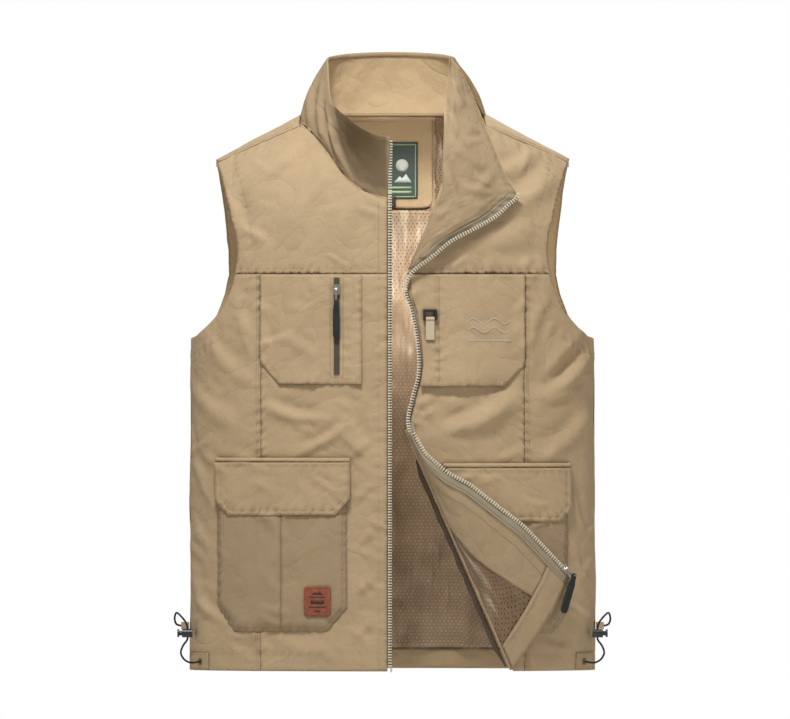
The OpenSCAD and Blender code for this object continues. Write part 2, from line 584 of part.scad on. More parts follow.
// Elastic cord: out of the eyelet, round, up through the lock and back to the tab
cord_knots = [
    [238, -41, 11], [244, -48, 10], [251, -50, 10], [258, -47, 14], [262, -42, 22], [259, -36, 31],
    [254, -34, 38], [254, -34, 46], [254, -34, 54], [257, -32, 61], [263, -27, 68], [267, -20, 71],
    [269, -14, 69], [270, -10, 63], [268, -8, 57], [263, -8, 55], [257, -8, 55]];
function smooth(p, i, s) =
    let (n = len(p) - 1, a = p[max(i - 1, 0)], b = p[i], c = p[min(i + 1, n)], d = p[min(i + 2, n)])
    0.5 * (2 * b + (c - a) * s + (2 * a - 5 * b + 4 * c - d) * s * s + (3 * b - a - 3 * c + d) * s * s * s);
cord_path = concat([for (i = [0:len(cord_knots) - 2], s = [0, 0.5]) smooth(cord_knots, i, s)],
    [cord_knots[len(cord_knots) - 1]]);
module cord() {
    n = len(cord_path);
    rings = [for (i = [0:n - 1])
        let (t = tangent(cord_path, i), u = unit(cross(t, [0.3, 0.9, 0.2])), v = cross(t, u))
        [for (k = [0:7]) cord_path[i] + cord_d / 2 * (cos(45 * k) * u + sin(45 * k) * v)]];
    sides = [for (i = [0:n - 2], k = [0:7])
        [8 * i + k, 8 * i + 8 + k, 8 * i + 8 + (k + 1) % 8, 8 * i + (k + 1) % 8]];
    polyhedron([for (ring = rings) each ring], concat(
        [[for (k = [0:7]) k]],
        [for (q = sides) each [[q[0], q[1], q[2]], [q[0], q[2], q[3]]]],
        [[for (k = [7:-1:0]) 8 * (n - 1) + k]]));
}
module left_drawcord() color(black) cord();
module right_drawcord() color(black) mirror([1, 0, 0]) cord();

// ---------- placing ----------

// Drops the vest so that the origin lies between the shoulders
module place() translate([0, 0, -neck_z]) children();

place() back_panel();
place() back_yoke();
place() right_front_yoke();
place() left_front_yoke();
place() right_front_panel();
place() left_front_panel();
place() right_side_panel();
place() left_side_panel();
place() back_lining();
place() right_front_lining();
place() left_front_lining();
place() back_neck_facing();
place() hem_band();
place() right_armhole_facing();
place() left_armhole_facing();
place() collar_outer();
place() collar_inner();
place() lapel_shell();
place() lapel_facing();
place() neck_label();
place() size_tag();
place() right_zip_tape();
place() right_zip_teeth();
place() zip_pin();
place() left_zip_tape();
place() left_zip_teeth();
place() right_chest_pocket();
place() chest_zip_coil();
place() chest_slider();
place() chest_pull_link();
place() chest_pull_grip();
place() left_chest_pocket();
place() tool_tab();
place() tool_ring();
place() chest_badge();
place() right_cargo_pocket();
place() right_cargo_welt();
place() right_cargo_flap();
place() leather_patch();
place() left_cargo_pocket();
place() left_cargo_flap();
place() corner_shell();
place() corner_facing();
place() corner_mesh();
place() corner_hem();
place() corner_zip_teeth();
place() main_slider();
place() main_pull_link();
place() main_pull_grip();
place() right_hem_patch();
place() left_hem_patch();
place() right_cord_tab();
place() left_cord_tab();
place() right_drawcord();
place() left_drawcord();
place() right_lock_body();
place() right_lock_button();
place() left_lock_body();
place() left_lock_button();
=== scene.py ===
"""Visual model of a fishing vest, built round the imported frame.

Shapes are worked out in millimetres, with heights measured up from the hem.
to_frame() turns them into the frame's metres.
"""
import math

import bpy
import numpy as np
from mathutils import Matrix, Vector
from mathutils.geometry import delaunay_2d_cdt


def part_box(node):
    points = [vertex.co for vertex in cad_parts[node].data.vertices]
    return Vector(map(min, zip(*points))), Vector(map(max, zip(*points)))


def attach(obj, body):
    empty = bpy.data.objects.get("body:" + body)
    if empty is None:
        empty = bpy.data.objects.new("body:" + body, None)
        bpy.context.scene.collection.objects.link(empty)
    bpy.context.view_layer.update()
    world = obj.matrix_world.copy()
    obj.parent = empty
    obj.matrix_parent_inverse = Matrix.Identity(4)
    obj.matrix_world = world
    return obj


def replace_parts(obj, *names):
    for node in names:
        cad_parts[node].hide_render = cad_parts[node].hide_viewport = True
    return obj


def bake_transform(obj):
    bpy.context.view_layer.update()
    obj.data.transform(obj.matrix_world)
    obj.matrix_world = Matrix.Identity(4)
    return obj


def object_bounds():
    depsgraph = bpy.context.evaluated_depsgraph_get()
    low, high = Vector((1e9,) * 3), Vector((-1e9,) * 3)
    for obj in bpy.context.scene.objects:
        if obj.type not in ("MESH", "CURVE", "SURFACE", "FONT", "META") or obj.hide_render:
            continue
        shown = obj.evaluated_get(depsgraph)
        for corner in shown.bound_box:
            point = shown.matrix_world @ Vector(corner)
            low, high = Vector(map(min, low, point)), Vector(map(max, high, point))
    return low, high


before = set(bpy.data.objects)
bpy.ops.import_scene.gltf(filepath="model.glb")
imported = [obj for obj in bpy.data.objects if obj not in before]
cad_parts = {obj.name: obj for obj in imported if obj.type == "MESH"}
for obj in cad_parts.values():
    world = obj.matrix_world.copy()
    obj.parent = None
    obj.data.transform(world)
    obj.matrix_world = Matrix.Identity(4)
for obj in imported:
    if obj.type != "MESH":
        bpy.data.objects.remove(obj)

CAD_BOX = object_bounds()

# ---------------------------------------------------------------- sizes, mm
NECK_Z = -1000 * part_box("back_panel")[0][2]
HALF_W = 1000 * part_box("left_side_panel")[1][0]
HALF_D = 112.0
FRONT_ROUND, BACK_ROUND = 150.0, 105.0
RIDGE_TOP, RIDGE_APEX, RIDGE_FALL = NECK_Z + 14, NECK_Z + 59, 0.514
YOKE_Z = 490.0
PRINCESS_X = 163.0
FRONT, BACK = -1, 1
RIGHT, LEFT = -1, 1
CLOTH = 1.0
RNG_TABLE = np.random.RandomState(7).rand(256, 256)


def to_frame(points):
    """Millimetres above the hem to metres in the frame."""
    p = np.asarray(points, float) / 1000
    return p - np.array([0, 0, NECK_Z / 1000])


def unit(v):
    v = np.asarray(v, float)
    return v / np.maximum(np.linalg.norm(v, axis=-1, keepdims=True), 1e-9)


def smoothstep(x, low=0.0, high=1.0):
    s = np.clip((np.asarray(x, float) - low) / (high - low), 0, 1)
    return s * s * (3 - 2 * s)


def noise(x, y, seed=0):
    """Smooth value noise from -1 to 1, one bump for each unit of x and y."""
    x, y = np.asarray(x, float) + 17.3 * seed, np.asarray(y, float) + 9.1 * seed
    i, j = np.floor(x).astype(int), np.floor(y).astype(int)
    u, v = smoothstep(x - i), smoothstep(y - j)
    t = RNG_TABLE
    a, b = t[i % 256, j % 256], t[(i + 1) % 256, j % 256]
    c, d = t[i % 256, (j + 1) % 256], t[(i + 1) % 256, (j + 1) % 256]
    return 2 * ((a * (1 - u) + b * u) * (1 - v) + (c * (1 - u) + d * u) * v) - 1


def smooth_path(knots, per=4):
    """Points on a Catmull-Rom curve through the knots."""
    k = np.asarray(knots, float)
    n = len(k) - 1
    out = []
    for i in range(n):
        a, b, c, d = k[max(i - 1, 0)], k[i], k[i + 1], k[min(i + 2, n)]
        for s in np.arange(per) / per:
            out.append(0.5 * (2 * b + (c - a) * s + (2 * a - 5 * b + 4 * c - d) * s**2
                              + (3 * b - a - 3 * c + d) * s**3))
    return np.array(out + [k[-1]])


def way_along(points):
    """Distance along a polyline from its first point to each of its points."""
    return np.concatenate([[0], np.cumsum(np.linalg.norm(np.diff(points, axis=0), axis=1))])


def even_path(points, step):
    """Points along a polyline, about step apart."""
    p = np.asarray(points, float)
    at = way_along(p)
    n = max(2, int(round(at[-1] / step)) + 1)
    s = np.linspace(0, at[-1], n)
    return np.stack([np.interp(s, at, p[:, k]) for k in range(p.shape[1])], axis=1)


# ---------------------------------------------------------------- the body surface
def ridge(x):
    return np.minimum(RIDGE_TOP, RIDGE_APEX - RIDGE_FALL * np.abs(x))


_angles = np.linspace(-math.pi / 2, math.pi / 2, 1201)
_arc_x = HALF_W * np.sin(_angles)
_arc_y = HALF_D * np.cos(_angles)
_arc_s = np.concatenate([[0], np.cumsum(np.hypot(np.diff(_arc_x), np.diff(_arc_y)))])
_arc_s -= _arc_s[-1] / 2


def drop_to_way(h, r):
    """Way down the cloth from the ridge, for a drop of h."""
    return np.where(h < r, r * np.arccos(np.clip(1 - h / r, -1, 1)), r * math.pi / 2 + h - r)


def way_to_drop(w, r):
    return np.where(w < r * math.pi / 2, r * (1 - np.cos(w / r)), w - r * math.pi / 2 + r)


def flat(points, side=FRONT):
    """[x, z] on one side of the vest to flat cloth coordinates [s, q]; q is negative in front."""
    p = np.asarray(points, float)
    r = FRONT_ROUND if side == FRONT else BACK_ROUND
    h = np.maximum(ridge(p[:, 0]) - p[:, 1], 0)
    return np.stack([np.interp(p[:, 0], _arc_x, _arc_s), side * drop_to_way(h, r)], axis=1)


def looped(points):
    """An outline with its first point again at the end."""
    p = np.asarray(points, float)
    return np.vstack([p, p[:1]])


def dense(points, step, closed=False):
    """The same polyline with points added along every stretch, corners kept."""
    p = looped(points) if closed else np.asarray(points, float)
    out = []
    for a, b in zip(p[:-1], p[1:]):
        n = max(1, int(round(np.linalg.norm(b - a) / step)))
        out += [a + (b - a) * k / n for k in range(n)]
    return np.array(out if closed else out + [p[-1]])


def lay(points, side=FRONT, step=5.0, closed=False):
    """A line drawn over one side of the vest, in flat cloth coordinates."""
    return flat(dense(points, step, closed), side)


def body(sq, t):
    """Points on the worn cloth at flat coordinates, raised by t, with their normals."""
    sq = np.asarray(sq, float)
    x = np.interp(sq[:, 0], _arc_s, _arc_x)
    side = np.where(sq[:, 1] <= 0, -1.0, 1.0)
    r = np.where(side < 0, FRONT_ROUND, BACK_ROUND)
    h = way_to_drop(np.abs(sq[:, 1]), r)
    oval = np.sqrt(np.maximum(0, 1 - (x / HALF_W) ** 2))
    k = np.where(h < r, 1 - h / r, 0)
    rounding = np.sqrt(np.maximum(0, 1 - k**2))
    y = side * HALF_D * oval * rounding
    slope = RIDGE_FALL * np.sign(x) * smoothstep(np.abs(x), 78, 98)
    normal = unit(np.stack([2 * x / HALF_W**2 * (1 - k * k) + 2 * oval**2 * k * slope / r,
                            2 * y / HALF_D**2 + side * 1e-7,
                            2 * oval**2 * k / r], axis=1))
    p = np.stack([x, y, ridge(x) - h], axis=1)
    return p + np.asarray(t, float).reshape(-1, 1) * normal, normal


def near(line, at):
    """Distance, way along and signed distance from flat points to a flat polyline."""
    a, b = line[:-1], line[1:]
    ab = b - a
    length = np.maximum(np.linalg.norm(ab, axis=1), 1e-9)
    start = np.concatenate([[0], np.cumsum(length)[:-1]])
    best = np.full(len(at), 1e9)
    along, signed = np.zeros(len(at)), np.zeros(len(at))
    for i in range(len(a)):
        rel = at - a[i]
        s = np.clip(rel @ ab[i] / length[i] ** 2, 0, 1)
        d = np.linalg.norm(rel - s[:, None] * ab[i], axis=1)
        cross = (ab[i, 0] * rel[:, 1] - ab[i, 1] * rel[:, 0]) / length[i]
        hit = d < best
        best[hit], along[hit], signed[hit] = d[hit], (start[i] + s * length[i])[hit], cross[hit]
    return best, along, signed


# ---------------------------------------------------------------- wrinkles
# Creases pressed into the cloth: start x, z, end x, z, half-width, height
FRONT_FOLDS = [
    (-161, 330, -84, 309, 6, 3.4), (-118, 270, -56, 305, 6, 3.2), (-60, 318, -24, 262, 9, 2.6),
    (-24, 286, -62, 250, 5, 1.2), (-22, 232, -48, 206, 5, 1.0), (-20, 175, -44, 150, 4, 0.9),
    (-20, 116, -46, 92, 5, 1.1), (-22, 62, -50, 34, 5, 1.0), (-248, 352, -190, 300, 10, 2.2),
    (-246, 268, -222, 214, 7, 1.6), (-248, 120, -220, 66, 7, 1.8), (-246, 190, -224, 150, 6, 1.4),
    (-112, 654, -182, 560, 17, 2.6), (-72, 626, -128, 520, 14, 1.8), (-208, 610, -172, 520, 9, 1.6),
    (-40, 590, -70, 505, 12, 1.5), (-196, 470, -170, 400, 7, 1.5), (-232, 420, -176, 352, 8, 1.8),
    (-150, 40, -60, 26, 8, 1.2), (-205, 36, -170, 14, 6, 1.2),
    (58, 292, 158, 344, 11, 6.4), (48, 330, 128, 346, 7, 1.8), (176, 330, 246, 392, 9, 4.0),
    (180, 262, 246, 318, 9, 2.2), (222, 236, 246, 150, 6, 1.8), (224, 150, 248, 96, 6, 1.8),
    (196, 98, 246, 62, 7, 1.8), (178, 36, 240, 26, 6, 1.3), (136, 566, 200, 616, 12, 4.4),
    (128, 612, 176, 642, 8, 2.4), (96, 520, 178, 556, 14, 2.2), (196, 470, 168, 392, 7, 1.5),
    (236, 416, 186, 352, 8, 2.2), (120, 505, 190, 508, 8, 1.0), (40, 345, 60, 300, 7, 1.6)]
BACK_FOLDS = [
    (-150, 470, -60, 360, 16, 2.2), (150, 470, 60, 360, 16, 2.2), (-230, 380, -150, 300, 12, 2.4),
    (230, 380, 150, 300, 12, 2.4), (-60, 640, 0, 560, 14, 1.6), (70, 640, 20, 560, 14, 1.6),
    (-240, 210, -160, 160, 10, 2.0), (240, 220, 150, 150, 10, 2.0), (-90, 120, 40, 90, 14, 1.8),
    (-30, 300, 90, 240, 18, 2.0), (190, 600, 120, 520, 12, 2.0), (-190, 600, -120, 520, 12, 2.0)]


FOLD_GAIN = 1.7


def fold_lines(table, side):
    out = []
    for x0, z0, x1, z1, width, height in table:
        bend = np.array([(x0 + x1) / 2 + (z1 - z0) * 0.07, (z0 + z1) / 2 - (x1 - x0) * 0.07])
        out.append((flat(smooth_path([(x0, z0), bend, (x1, z1)], 3), side), width, height))
    return out


def scattered(side, count, seed):
    """Small shallow creases strewn over one side, leaning towards the side seams."""
    rng = np.random.RandomState(seed)
    out = []
    for _ in range(count):
        band = rng.choice([0, 28, 163, 238], p=[0.3, 0.25, 0.25, 0.2])
        x = rng.uniform(-245, 245) if band == 0 else rng.choice([-1, 1]) * band + rng.normal(0, 11)
        z = rng.uniform(15, 640)
        tilt = math.radians(rng.normal(35, 22)) * (1 if x > 0 else -1)
        half = rng.uniform(9, 26)
        dx, dz = half * math.cos(tilt), half * math.sin(tilt)
        ends = [(np.clip(x - dx, -249, 249), max(2, z - dz)), (np.clip(x + dx, -249, 249), z + dz)]
        out.append((flat(even_path(ends, 12), side), rng.uniform(3, 6), rng.uniform(0.45, 1.25)))
    return out


ALL_FOLDS = {FRONT: fold_lines(FRONT_FOLDS, FRONT) + scattered(FRONT, 170, 3),
             BACK: fold_lines(BACK_FOLDS, BACK) + scattered(BACK, 90, 5)}


def relief(sq):
    """Height of the shared wrinkles over the cloth, in mm."""
    s, q = sq[:, 0], sq[:, 1]
    out = 1.5 * noise(s / 70, q / 95, 1) + 0.9 * noise(s / 27, q / 34, 2) + 0.3 * noise(s / 10, q / 13, 3)
    for side, folds in ALL_FOLDS.items():
        mine = (q <= 0) if side == FRONT else (q > 0)
        for line, width, height in folds:
            low, high = line.min(axis=0) - 4 * width, line.max(axis=0) + 4 * width
            hit = mine & (s > low[0]) & (s < high[0]) & (q > low[1]) & (q < high[1])
            if not hit.any():
                continue
            d, along, signed = near(line, sq[hit])
            length = np.linalg.norm(np.diff(line, axis=0), axis=1).sum()
            past = np.sqrt(np.maximum(d**2 - signed**2, 0))
            ends = np.sin(math.pi * np.clip(along / length, 0.02, 0.98)) ** 0.7 * np.exp(-(past / width) ** 2)
            k = signed / width
            out[hit] += FOLD_GAIN * height * ends * (np.exp(-k**2) - 0.55 * np.exp(-((k - 1.5) ** 2)))
    return out


def pucker(sq, seams):
    """Valleys and small ripples that stitching pulls into cloth. Each seam is line, depth, ripple."""
    out = np.zeros(len(sq))
    for n, (line, depth, ripple) in enumerate(seams):
        depth, ripple = 1.6 * depth, 2.4 * ripple
        d, along, _ = near(line, sq)
        out -= depth * np.exp(-((d / 1.6) ** 2))
        wave = np.sin(along * 2 * math.pi / 12.5 + 3.2 * noise(along / 26, d / 40, n + 4))
        out += ripple * wave * np.exp(-((d / 7) ** 1.5)) * (0.6 + 0.5 * noise(along / 45, d * 0, n + 9))
    return out


# ---------------------------------------------------------------- mesh building
def make_mesh(name, points, faces, body_name, slot_name, material, uv=None, smooth=True, metres=False):
    mesh = bpy.data.meshes.new(name)
    pts = np.asarray(points, float) if metres else to_frame(points)
    mesh.from_pydata(pts.tolist(), [], [list(map(int, f)) for f in faces])
    if uv is not None:
        layer = mesh.uv_layers.new(name="cloth")
        loops = np.zeros(len(mesh.loops), int)
        mesh.loops.foreach_get("vertex_index", loops)
        layer.data.foreach_set("uv", (np.asarray(uv, float)[loops] / 1000).ravel().astype(np.float32))
    mesh.polygons.foreach_set("use_smooth", [smooth] * len(mesh.polygons))
    mesh.materials.append(material)
    mesh.validate()
    obj = bpy.data.objects.new(name, mesh)
    bpy.context.scene.collection.objects.link(obj)
    if body_name:
        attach(obj, body_name)
    return obj


def thicken(obj, thickness, offset=-1.0):
    mod = obj.modifiers.new("thickness", "SOLIDIFY")
    mod.thickness = thickness / 1000
    mod.offset = offset
    mod.use_even_offset = False


def triangulate(edge, step, lines=()):
    """Flat triangle mesh inside an edge, with a hex grid of points and kept lines."""
    pts, cuts = [tuple(p) for p in edge], []
    for line in lines:
        first = len(pts)
        kept = even_path(line, step * 0.7)
        pts += [tuple(p) for p in kept]
        cuts += [(first + i, first + i + 1) for i in range(len(kept) - 1)]
    low, high = edge.min(axis=0), edge.max(axis=0)
    rows = int((high[1] - low[1]) / (step * 0.866)) + 1
    grid = []
    for j in range(rows):
        xs = np.arange(low[0] + (j % 2) * step / 2, high[0], step)
        grid.append(np.stack([xs, np.full(len(xs), low[1] + j * step * 0.866)], axis=1))
    grid = np.vstack(grid)
    border = looped(edge)
    keep = near(border, grid)[0] > step * 0.45
    for line in lines:
        keep &= near(np.asarray(line), grid)[0] > step * 0.35
    inside = np.zeros(len(grid), bool)
    for (x0, y0), (x1, y1) in zip(border[:-1], border[1:]):
        crosses = (y0 > grid[:, 1]) != (y1 > grid[:, 1])
        with np.errstate(divide="ignore", invalid="ignore"):
            at = (x1 - x0) * (grid[:, 1] - y0) / (y1 - y0) + x0
        inside ^= crosses & (grid[:, 0] < at)
    pts += [tuple(p) for p in grid[keep & inside]]
    out = delaunay_2d_cdt([Vector(p) for p in pts], cuts, [list(range(len(edge)))], 1, 1e-4)
    verts = np.array([(v.x, v.y) for v in out[0]])
    faces = np.array(out[2])
    a, b, c = verts[faces[:, 0]], verts[faces[:, 1]], verts[faces[:, 2]]
    area = (b[:, 0] - a[:, 0]) * (c[:, 1] - a[:, 1]) - (b[:, 1] - a[:, 1]) * (c[:, 0] - a[:, 0])
    faces = faces[np.abs(area) > 1e-4]
    return verts, faces, np.abs(area).sum() / 2


def sheet_area(area_mm2, w, l):
    """A sheet's area in square metres, kept between 30% and all of its flat box."""
    return min(max(area_mm2 / 1e6, 0.3 * w * l), w * l)


class Patch:
    """A cloth piece cut to a flat outline and laid on the worn body."""

    def __init__(self, outline, t, side=FRONT, seams=(), shape=None, wrinkle=1.0):
        self.corners, self.side = outline, side
        self.outline = self.edge(6.0)
        self.t, self.shape, self.wrinkle = t, shape, wrinkle
        self.seams = [(lay(line, side) if side else np.asarray(line, float), d, r) for line, d, r in seams]

    def edge(self, step):
        return lay(self.corners, self.side, step, True) if self.side else dense(self.corners, step, True)

    def height(self, sq):
        h = np.full(len(sq), float(self.t)) + self.wrinkle * relief(sq) + pucker(sq, self.seams)
        if self.shape:
            h += self.shape(sq)
        return h

    def points(self, sq, lift=0.0):
        return body(sq, self.height(sq) + lift)

    def build(self, name, body_name, slot_name, material, step, thickness=CLOTH, lines=(), declare=True):
        sq, faces, area = triangulate(self.edge(step), step, lines)
        pts, normal = self.points(sq)
        a, b, c = pts[faces[:, 0]], pts[faces[:, 1]], pts[faces[:, 2]]
        turned = (np.cross(b - a, c - a) * normal[faces[:, 0]]).sum(axis=1) < 0
        faces[turned] = faces[turned][:, ::-1]
        obj = make_mesh(name, pts, faces, body_name, slot_name, material, uv=sq)
        thicken(obj, thickness)
        if declare:
            low, high = self.outline.min(axis=0), self.outline.max(axis=0)
            w, l = (high - low) / 1000
            sheet_area(area, w, l)
        return obj


def inset(points, by):
    """A closed outline moved inward by so many mm, corner by corner."""
    p = np.asarray(points, float)
    n = len(p)
    area = sum(p[i, 0] * p[(i + 1) % n, 1] - p[(i + 1) % n, 0] * p[i, 1] for i in range(n))
    sign = 1 if area > 0 else -1
    out = []
    for i in range(n):
        a, b, c = p[i - 1], p[i], p[(i + 1) % n]
        u, v = unit(b - a), unit(c - b)
        n1, n2 = sign * np.array([-u[1], u[0]]), sign * np.array([-v[1], v[0]])
        m = n1 + n2
        out.append(b + by * m / max(0.35, (m @ m) / 2))
    return np.array(out)


# ---------------------------------------------------------------- stitches and teeth
STITCH_PITCH, TOOTH_PITCH = 3.4, 3.4
STITCH = np.array([(-1.25, 0, 0), (-0.9, 0.2, 0), (-0.9, 0, 0.26), (-0.9, -0.2, 0),
                   (0.9, 0.2, 0), (0.9, 0, 0.26), (0.9, -0.2, 0), (1.25, 0, 0)])
STITCH_FACES = [(0, 1, 2), (0, 2, 3), (0, 3, 1), (1, 4, 5, 2), (2, 5, 6, 3), (3, 6, 4, 1),
                (7, 5, 4), (7, 6, 5), (7, 4, 6)]
TOOTH_PLAN = [(-2.4, -0.75), (0.5, -0.75), (1.1, -1.15), (2.1, -1.0), (2.5, -0.4),
              (2.5, 0.4), (2.1, 1.0), (1.1, 1.15), (0.5, 0.75), (-2.4, 0.75)]


def placed(shape, faces, at, along, up):
    """Copies of a small shape at points, with X along and Z up."""
    along, up = unit(along), unit(up)
    across = unit(np.cross(up, along))
    up = np.cross(along, across)
    pts = (at[:, None, :] + shape[None, :, 0:1] * along[:, None, :] + shape[None, :, 1:2] * across[:, None, :]
           + shape[None, :, 2:3] * up[:, None, :])
    n = len(shape)
    all_faces = [tuple(i * n + v for v in f) for i in range(len(at)) for f in faces]
    return pts.reshape(-1, 3), all_faces


class Thread:
    """Collects stitches for one body into one piece."""

    def __init__(self):
        self.points, self.faces, self.count = [], [], 0

    def run(self, pts, normal, pitch=STITCH_PITCH, lift=0.1):
        pts = np.asarray(pts, float)
        line = even_path(np.hstack([pts, normal]), pitch)
        if len(line) < 3:
            return
        at, up = (line[:-1, :3] + line[1:, :3]) / 2, line[:-1, 3:]
        p, f = placed(STITCH, STITCH_FACES, at + lift * unit(up), line[1:, :3] - line[:-1, :3], up)
        self.points.append(p)
        self.faces += [tuple(self.count + v for v in face) for face in f]
        self.count += len(p)

    def on(self, patch, line, side=FRONT, pitch=STITCH_PITCH):
        drawn = lay(line, side, 4.0) if side else line
        self.run(*patch.points(even_path(drawn, 2.0)), pitch=pitch)

    def build(self, name, body_name):
        return make_mesh(name, np.vstack(self.points), self.faces, body_name, "thread", M["thread"])


def zip_teeth(name, body_name, path, up, flip=1, depth=2.3):
    """Moulded teeth along a path, with their heads on the flip side."""
    line = even_path(np.hstack([path, up]), TOOTH_PITCH)
    plan = np.array(TOOTH_PLAN)
    n = len(plan)
    low = np.c_[plan[:, 1], flip * plan[:, 0], np.full(n, -depth / 2)]
    mid = np.c_[plan[:, 1], flip * plan[:, 0], np.full(n, depth / 2 - 0.35)]
    top = np.c_[plan[:, 1] * 0.72, flip * plan[:, 0] * 0.86, np.full(n, depth / 2)]
    shape = np.vstack([low, mid, top])
    faces = [tuple(range(n))[::-1], tuple(range(2 * n, 3 * n))]
    for k in range(2):
        faces += [(k * n + i, k * n + (i + 1) % n, (k + 1) * n + (i + 1) % n, (k + 1) * n + i)
                  for i in range(n)]
    if flip < 0:
        faces = [f[::-1] for f in faces]
    pts, all_faces = placed(shape, faces, line[:, :3], np.gradient(line[:, :3], axis=0), line[:, 3:])
    return make_mesh(name, pts, all_faces, body_name, "zip_teeth", M["teeth"], smooth=False)


def grid_mesh(name, grid, body_name, slot_name, material, thickness, declare=None):
    """A sheet from rows of points."""
    g = np.asarray(grid, float)
    n, m = g.shape[:2]
    faces = [(i * m + j, i * m + j + 1, (i + 1) * m + j + 1, (i + 1) * m + j)
             for i in range(n - 1) for j in range(m - 1)]
    uv = np.stack(np.meshgrid(way_along(g[n // 2]), way_along(g[:, m // 2])), axis=-1).reshape(-1, 2)
    obj = make_mesh(name, g.reshape(-1, 3), faces, body_name, slot_name, material, uv=uv)
    thicken(obj, thickness, 0)
    return obj


def ribbon(name, body_name, slot_name, material, path, across, up, width, thickness, lift=0.0, dome=0.0):
    """A flat band along a path, with a domed top and square edges."""
    path, across, up = np.asarray(path, float), unit(across), unit(up)
    shape = [(-0.5, 0), (-0.5, 1), (-0.3, 1 + dome * 0.7), (0, 1 + dome), (0.3, 1 + dome * 0.7), (0.5, 1),
             (0.5, 0)]
    rows = np.array([[p + a * w * width + u * (lift + h * thickness) for w, h in shape]
                     for p, a, u in zip(path, across, up)])
    n, m = rows.shape[:2]
    faces = [(i * m + j, i * m + (j + 1) % m, (i + 1) * m + (j + 1) % m, (i + 1) * m + j)
             for i in range(n - 1) for j in range(m)]
    faces += [tuple(range(m))[::-1], tuple(range((n - 1) * m, n * m))]
    uv = np.array([[w * width, way] for way in way_along(path) for w, _ in shape])
    return make_mesh(name, rows.reshape(-1, 3), faces, body_name, slot_name, material, uv=uv)


def mirrored(points):
    p = np.array(points, float)
    p[..., 0] *= -1
    return p


# ---------------------------------------------------------------- materials
def new_material(name, roughness, specular, sheen=0.0, sheen_rough=0.5, metallic=0.0):
    mat = bpy.data.materials.new(name)
    mat.use_nodes = True
    bsdf = mat.node_tree.nodes["Principled BSDF"]
    values = {"Roughness": roughness, "Specular IOR Level": specular, "Sheen Weight": sheen,
              "Sheen Roughness": sheen_rough, "Metallic": metallic}
    for socket, value in values.items():
        bsdf.inputs[socket].default_value = value
    return mat, bsdf


class Nodes:
    """Short calls that add and join shader nodes."""

    def __init__(self, mat):
        self.tree = mat.node_tree

    def add(self, kind, inputs=(), **values):
        node = self.tree.nodes.new(kind)
        for key, value in values.items():
            setattr(node, key, value)
        for socket, value in dict(inputs).items():
            node.inputs[socket].default_value = value
        return node

    def join(self, source, target):
        self.tree.links.new(source, target)

    def math(self, op, a, b=0.0, c=0.0):
        node = self.add("ShaderNodeMath", operation=op)
        for socket, value in zip(node.inputs, (a, b, c)):
            if isinstance(value, (int, float)):
                socket.default_value = value
            else:
                self.join(value, socket)
        return node.outputs[0]

    def plus(self, a, b):
        return self.math("ADD", a, b)

    def times(self, a, b):
        return self.math("MULTIPLY", a, b)

    def noise(self, where, scale, detail=2.0, rough=0.5):
        node = self.add("ShaderNodeTexNoise", {"Scale": scale, "Detail": detail, "Roughness": rough})
        self.join(where, node.inputs["Vector"])
        return node.outputs["Fac"]

    def ramp(self, fac, stops):
        node = self.add("ShaderNodeValToRGB")
        ramp = node.color_ramp
        while len(ramp.elements) < len(stops):
            ramp.elements.new(0.5)
        for element, (at, colour) in zip(ramp.elements, stops):
            element.position = at
            element.color = (*colour, 1)
        self.join(fac, node.inputs["Fac"])
        return node.outputs["Color"]

    def multiply(self, a, b):
        node = self.add("ShaderNodeMix", {"Factor": 1.0}, data_type="RGBA", blend_type="MULTIPLY")
        self.join(a, node.inputs["A"])
        self.join(b, node.inputs["B"])
        return node.outputs["Result"]

    def painted_shade(self, colour, reach, darkest):
        """Painted shade: a deeper tone in stitched valleys and under edges, from ambient occlusion."""
        node = self.add("ShaderNodeAmbientOcclusion", {"Distance": reach}, samples=4)
        deep = (darkest, darkest * 0.93, darkest * 0.86)
        tint = self.ramp(node.outputs["AO"], [(0.30, deep), (0.88, (1, 1, 1))])
        return self.multiply(colour, tint)

    def bump(self, height, strength, distance, before=None):
        node = self.add("ShaderNodeBump", {"Strength": strength, "Distance": distance})
        self.join(height, node.inputs["Height"])
        if before is not None:
            self.join(before, node.inputs["Normal"])
        return node.outputs["Normal"]


def shade(colour, k):
    return tuple(min(1.0, c * k) for c in colour)


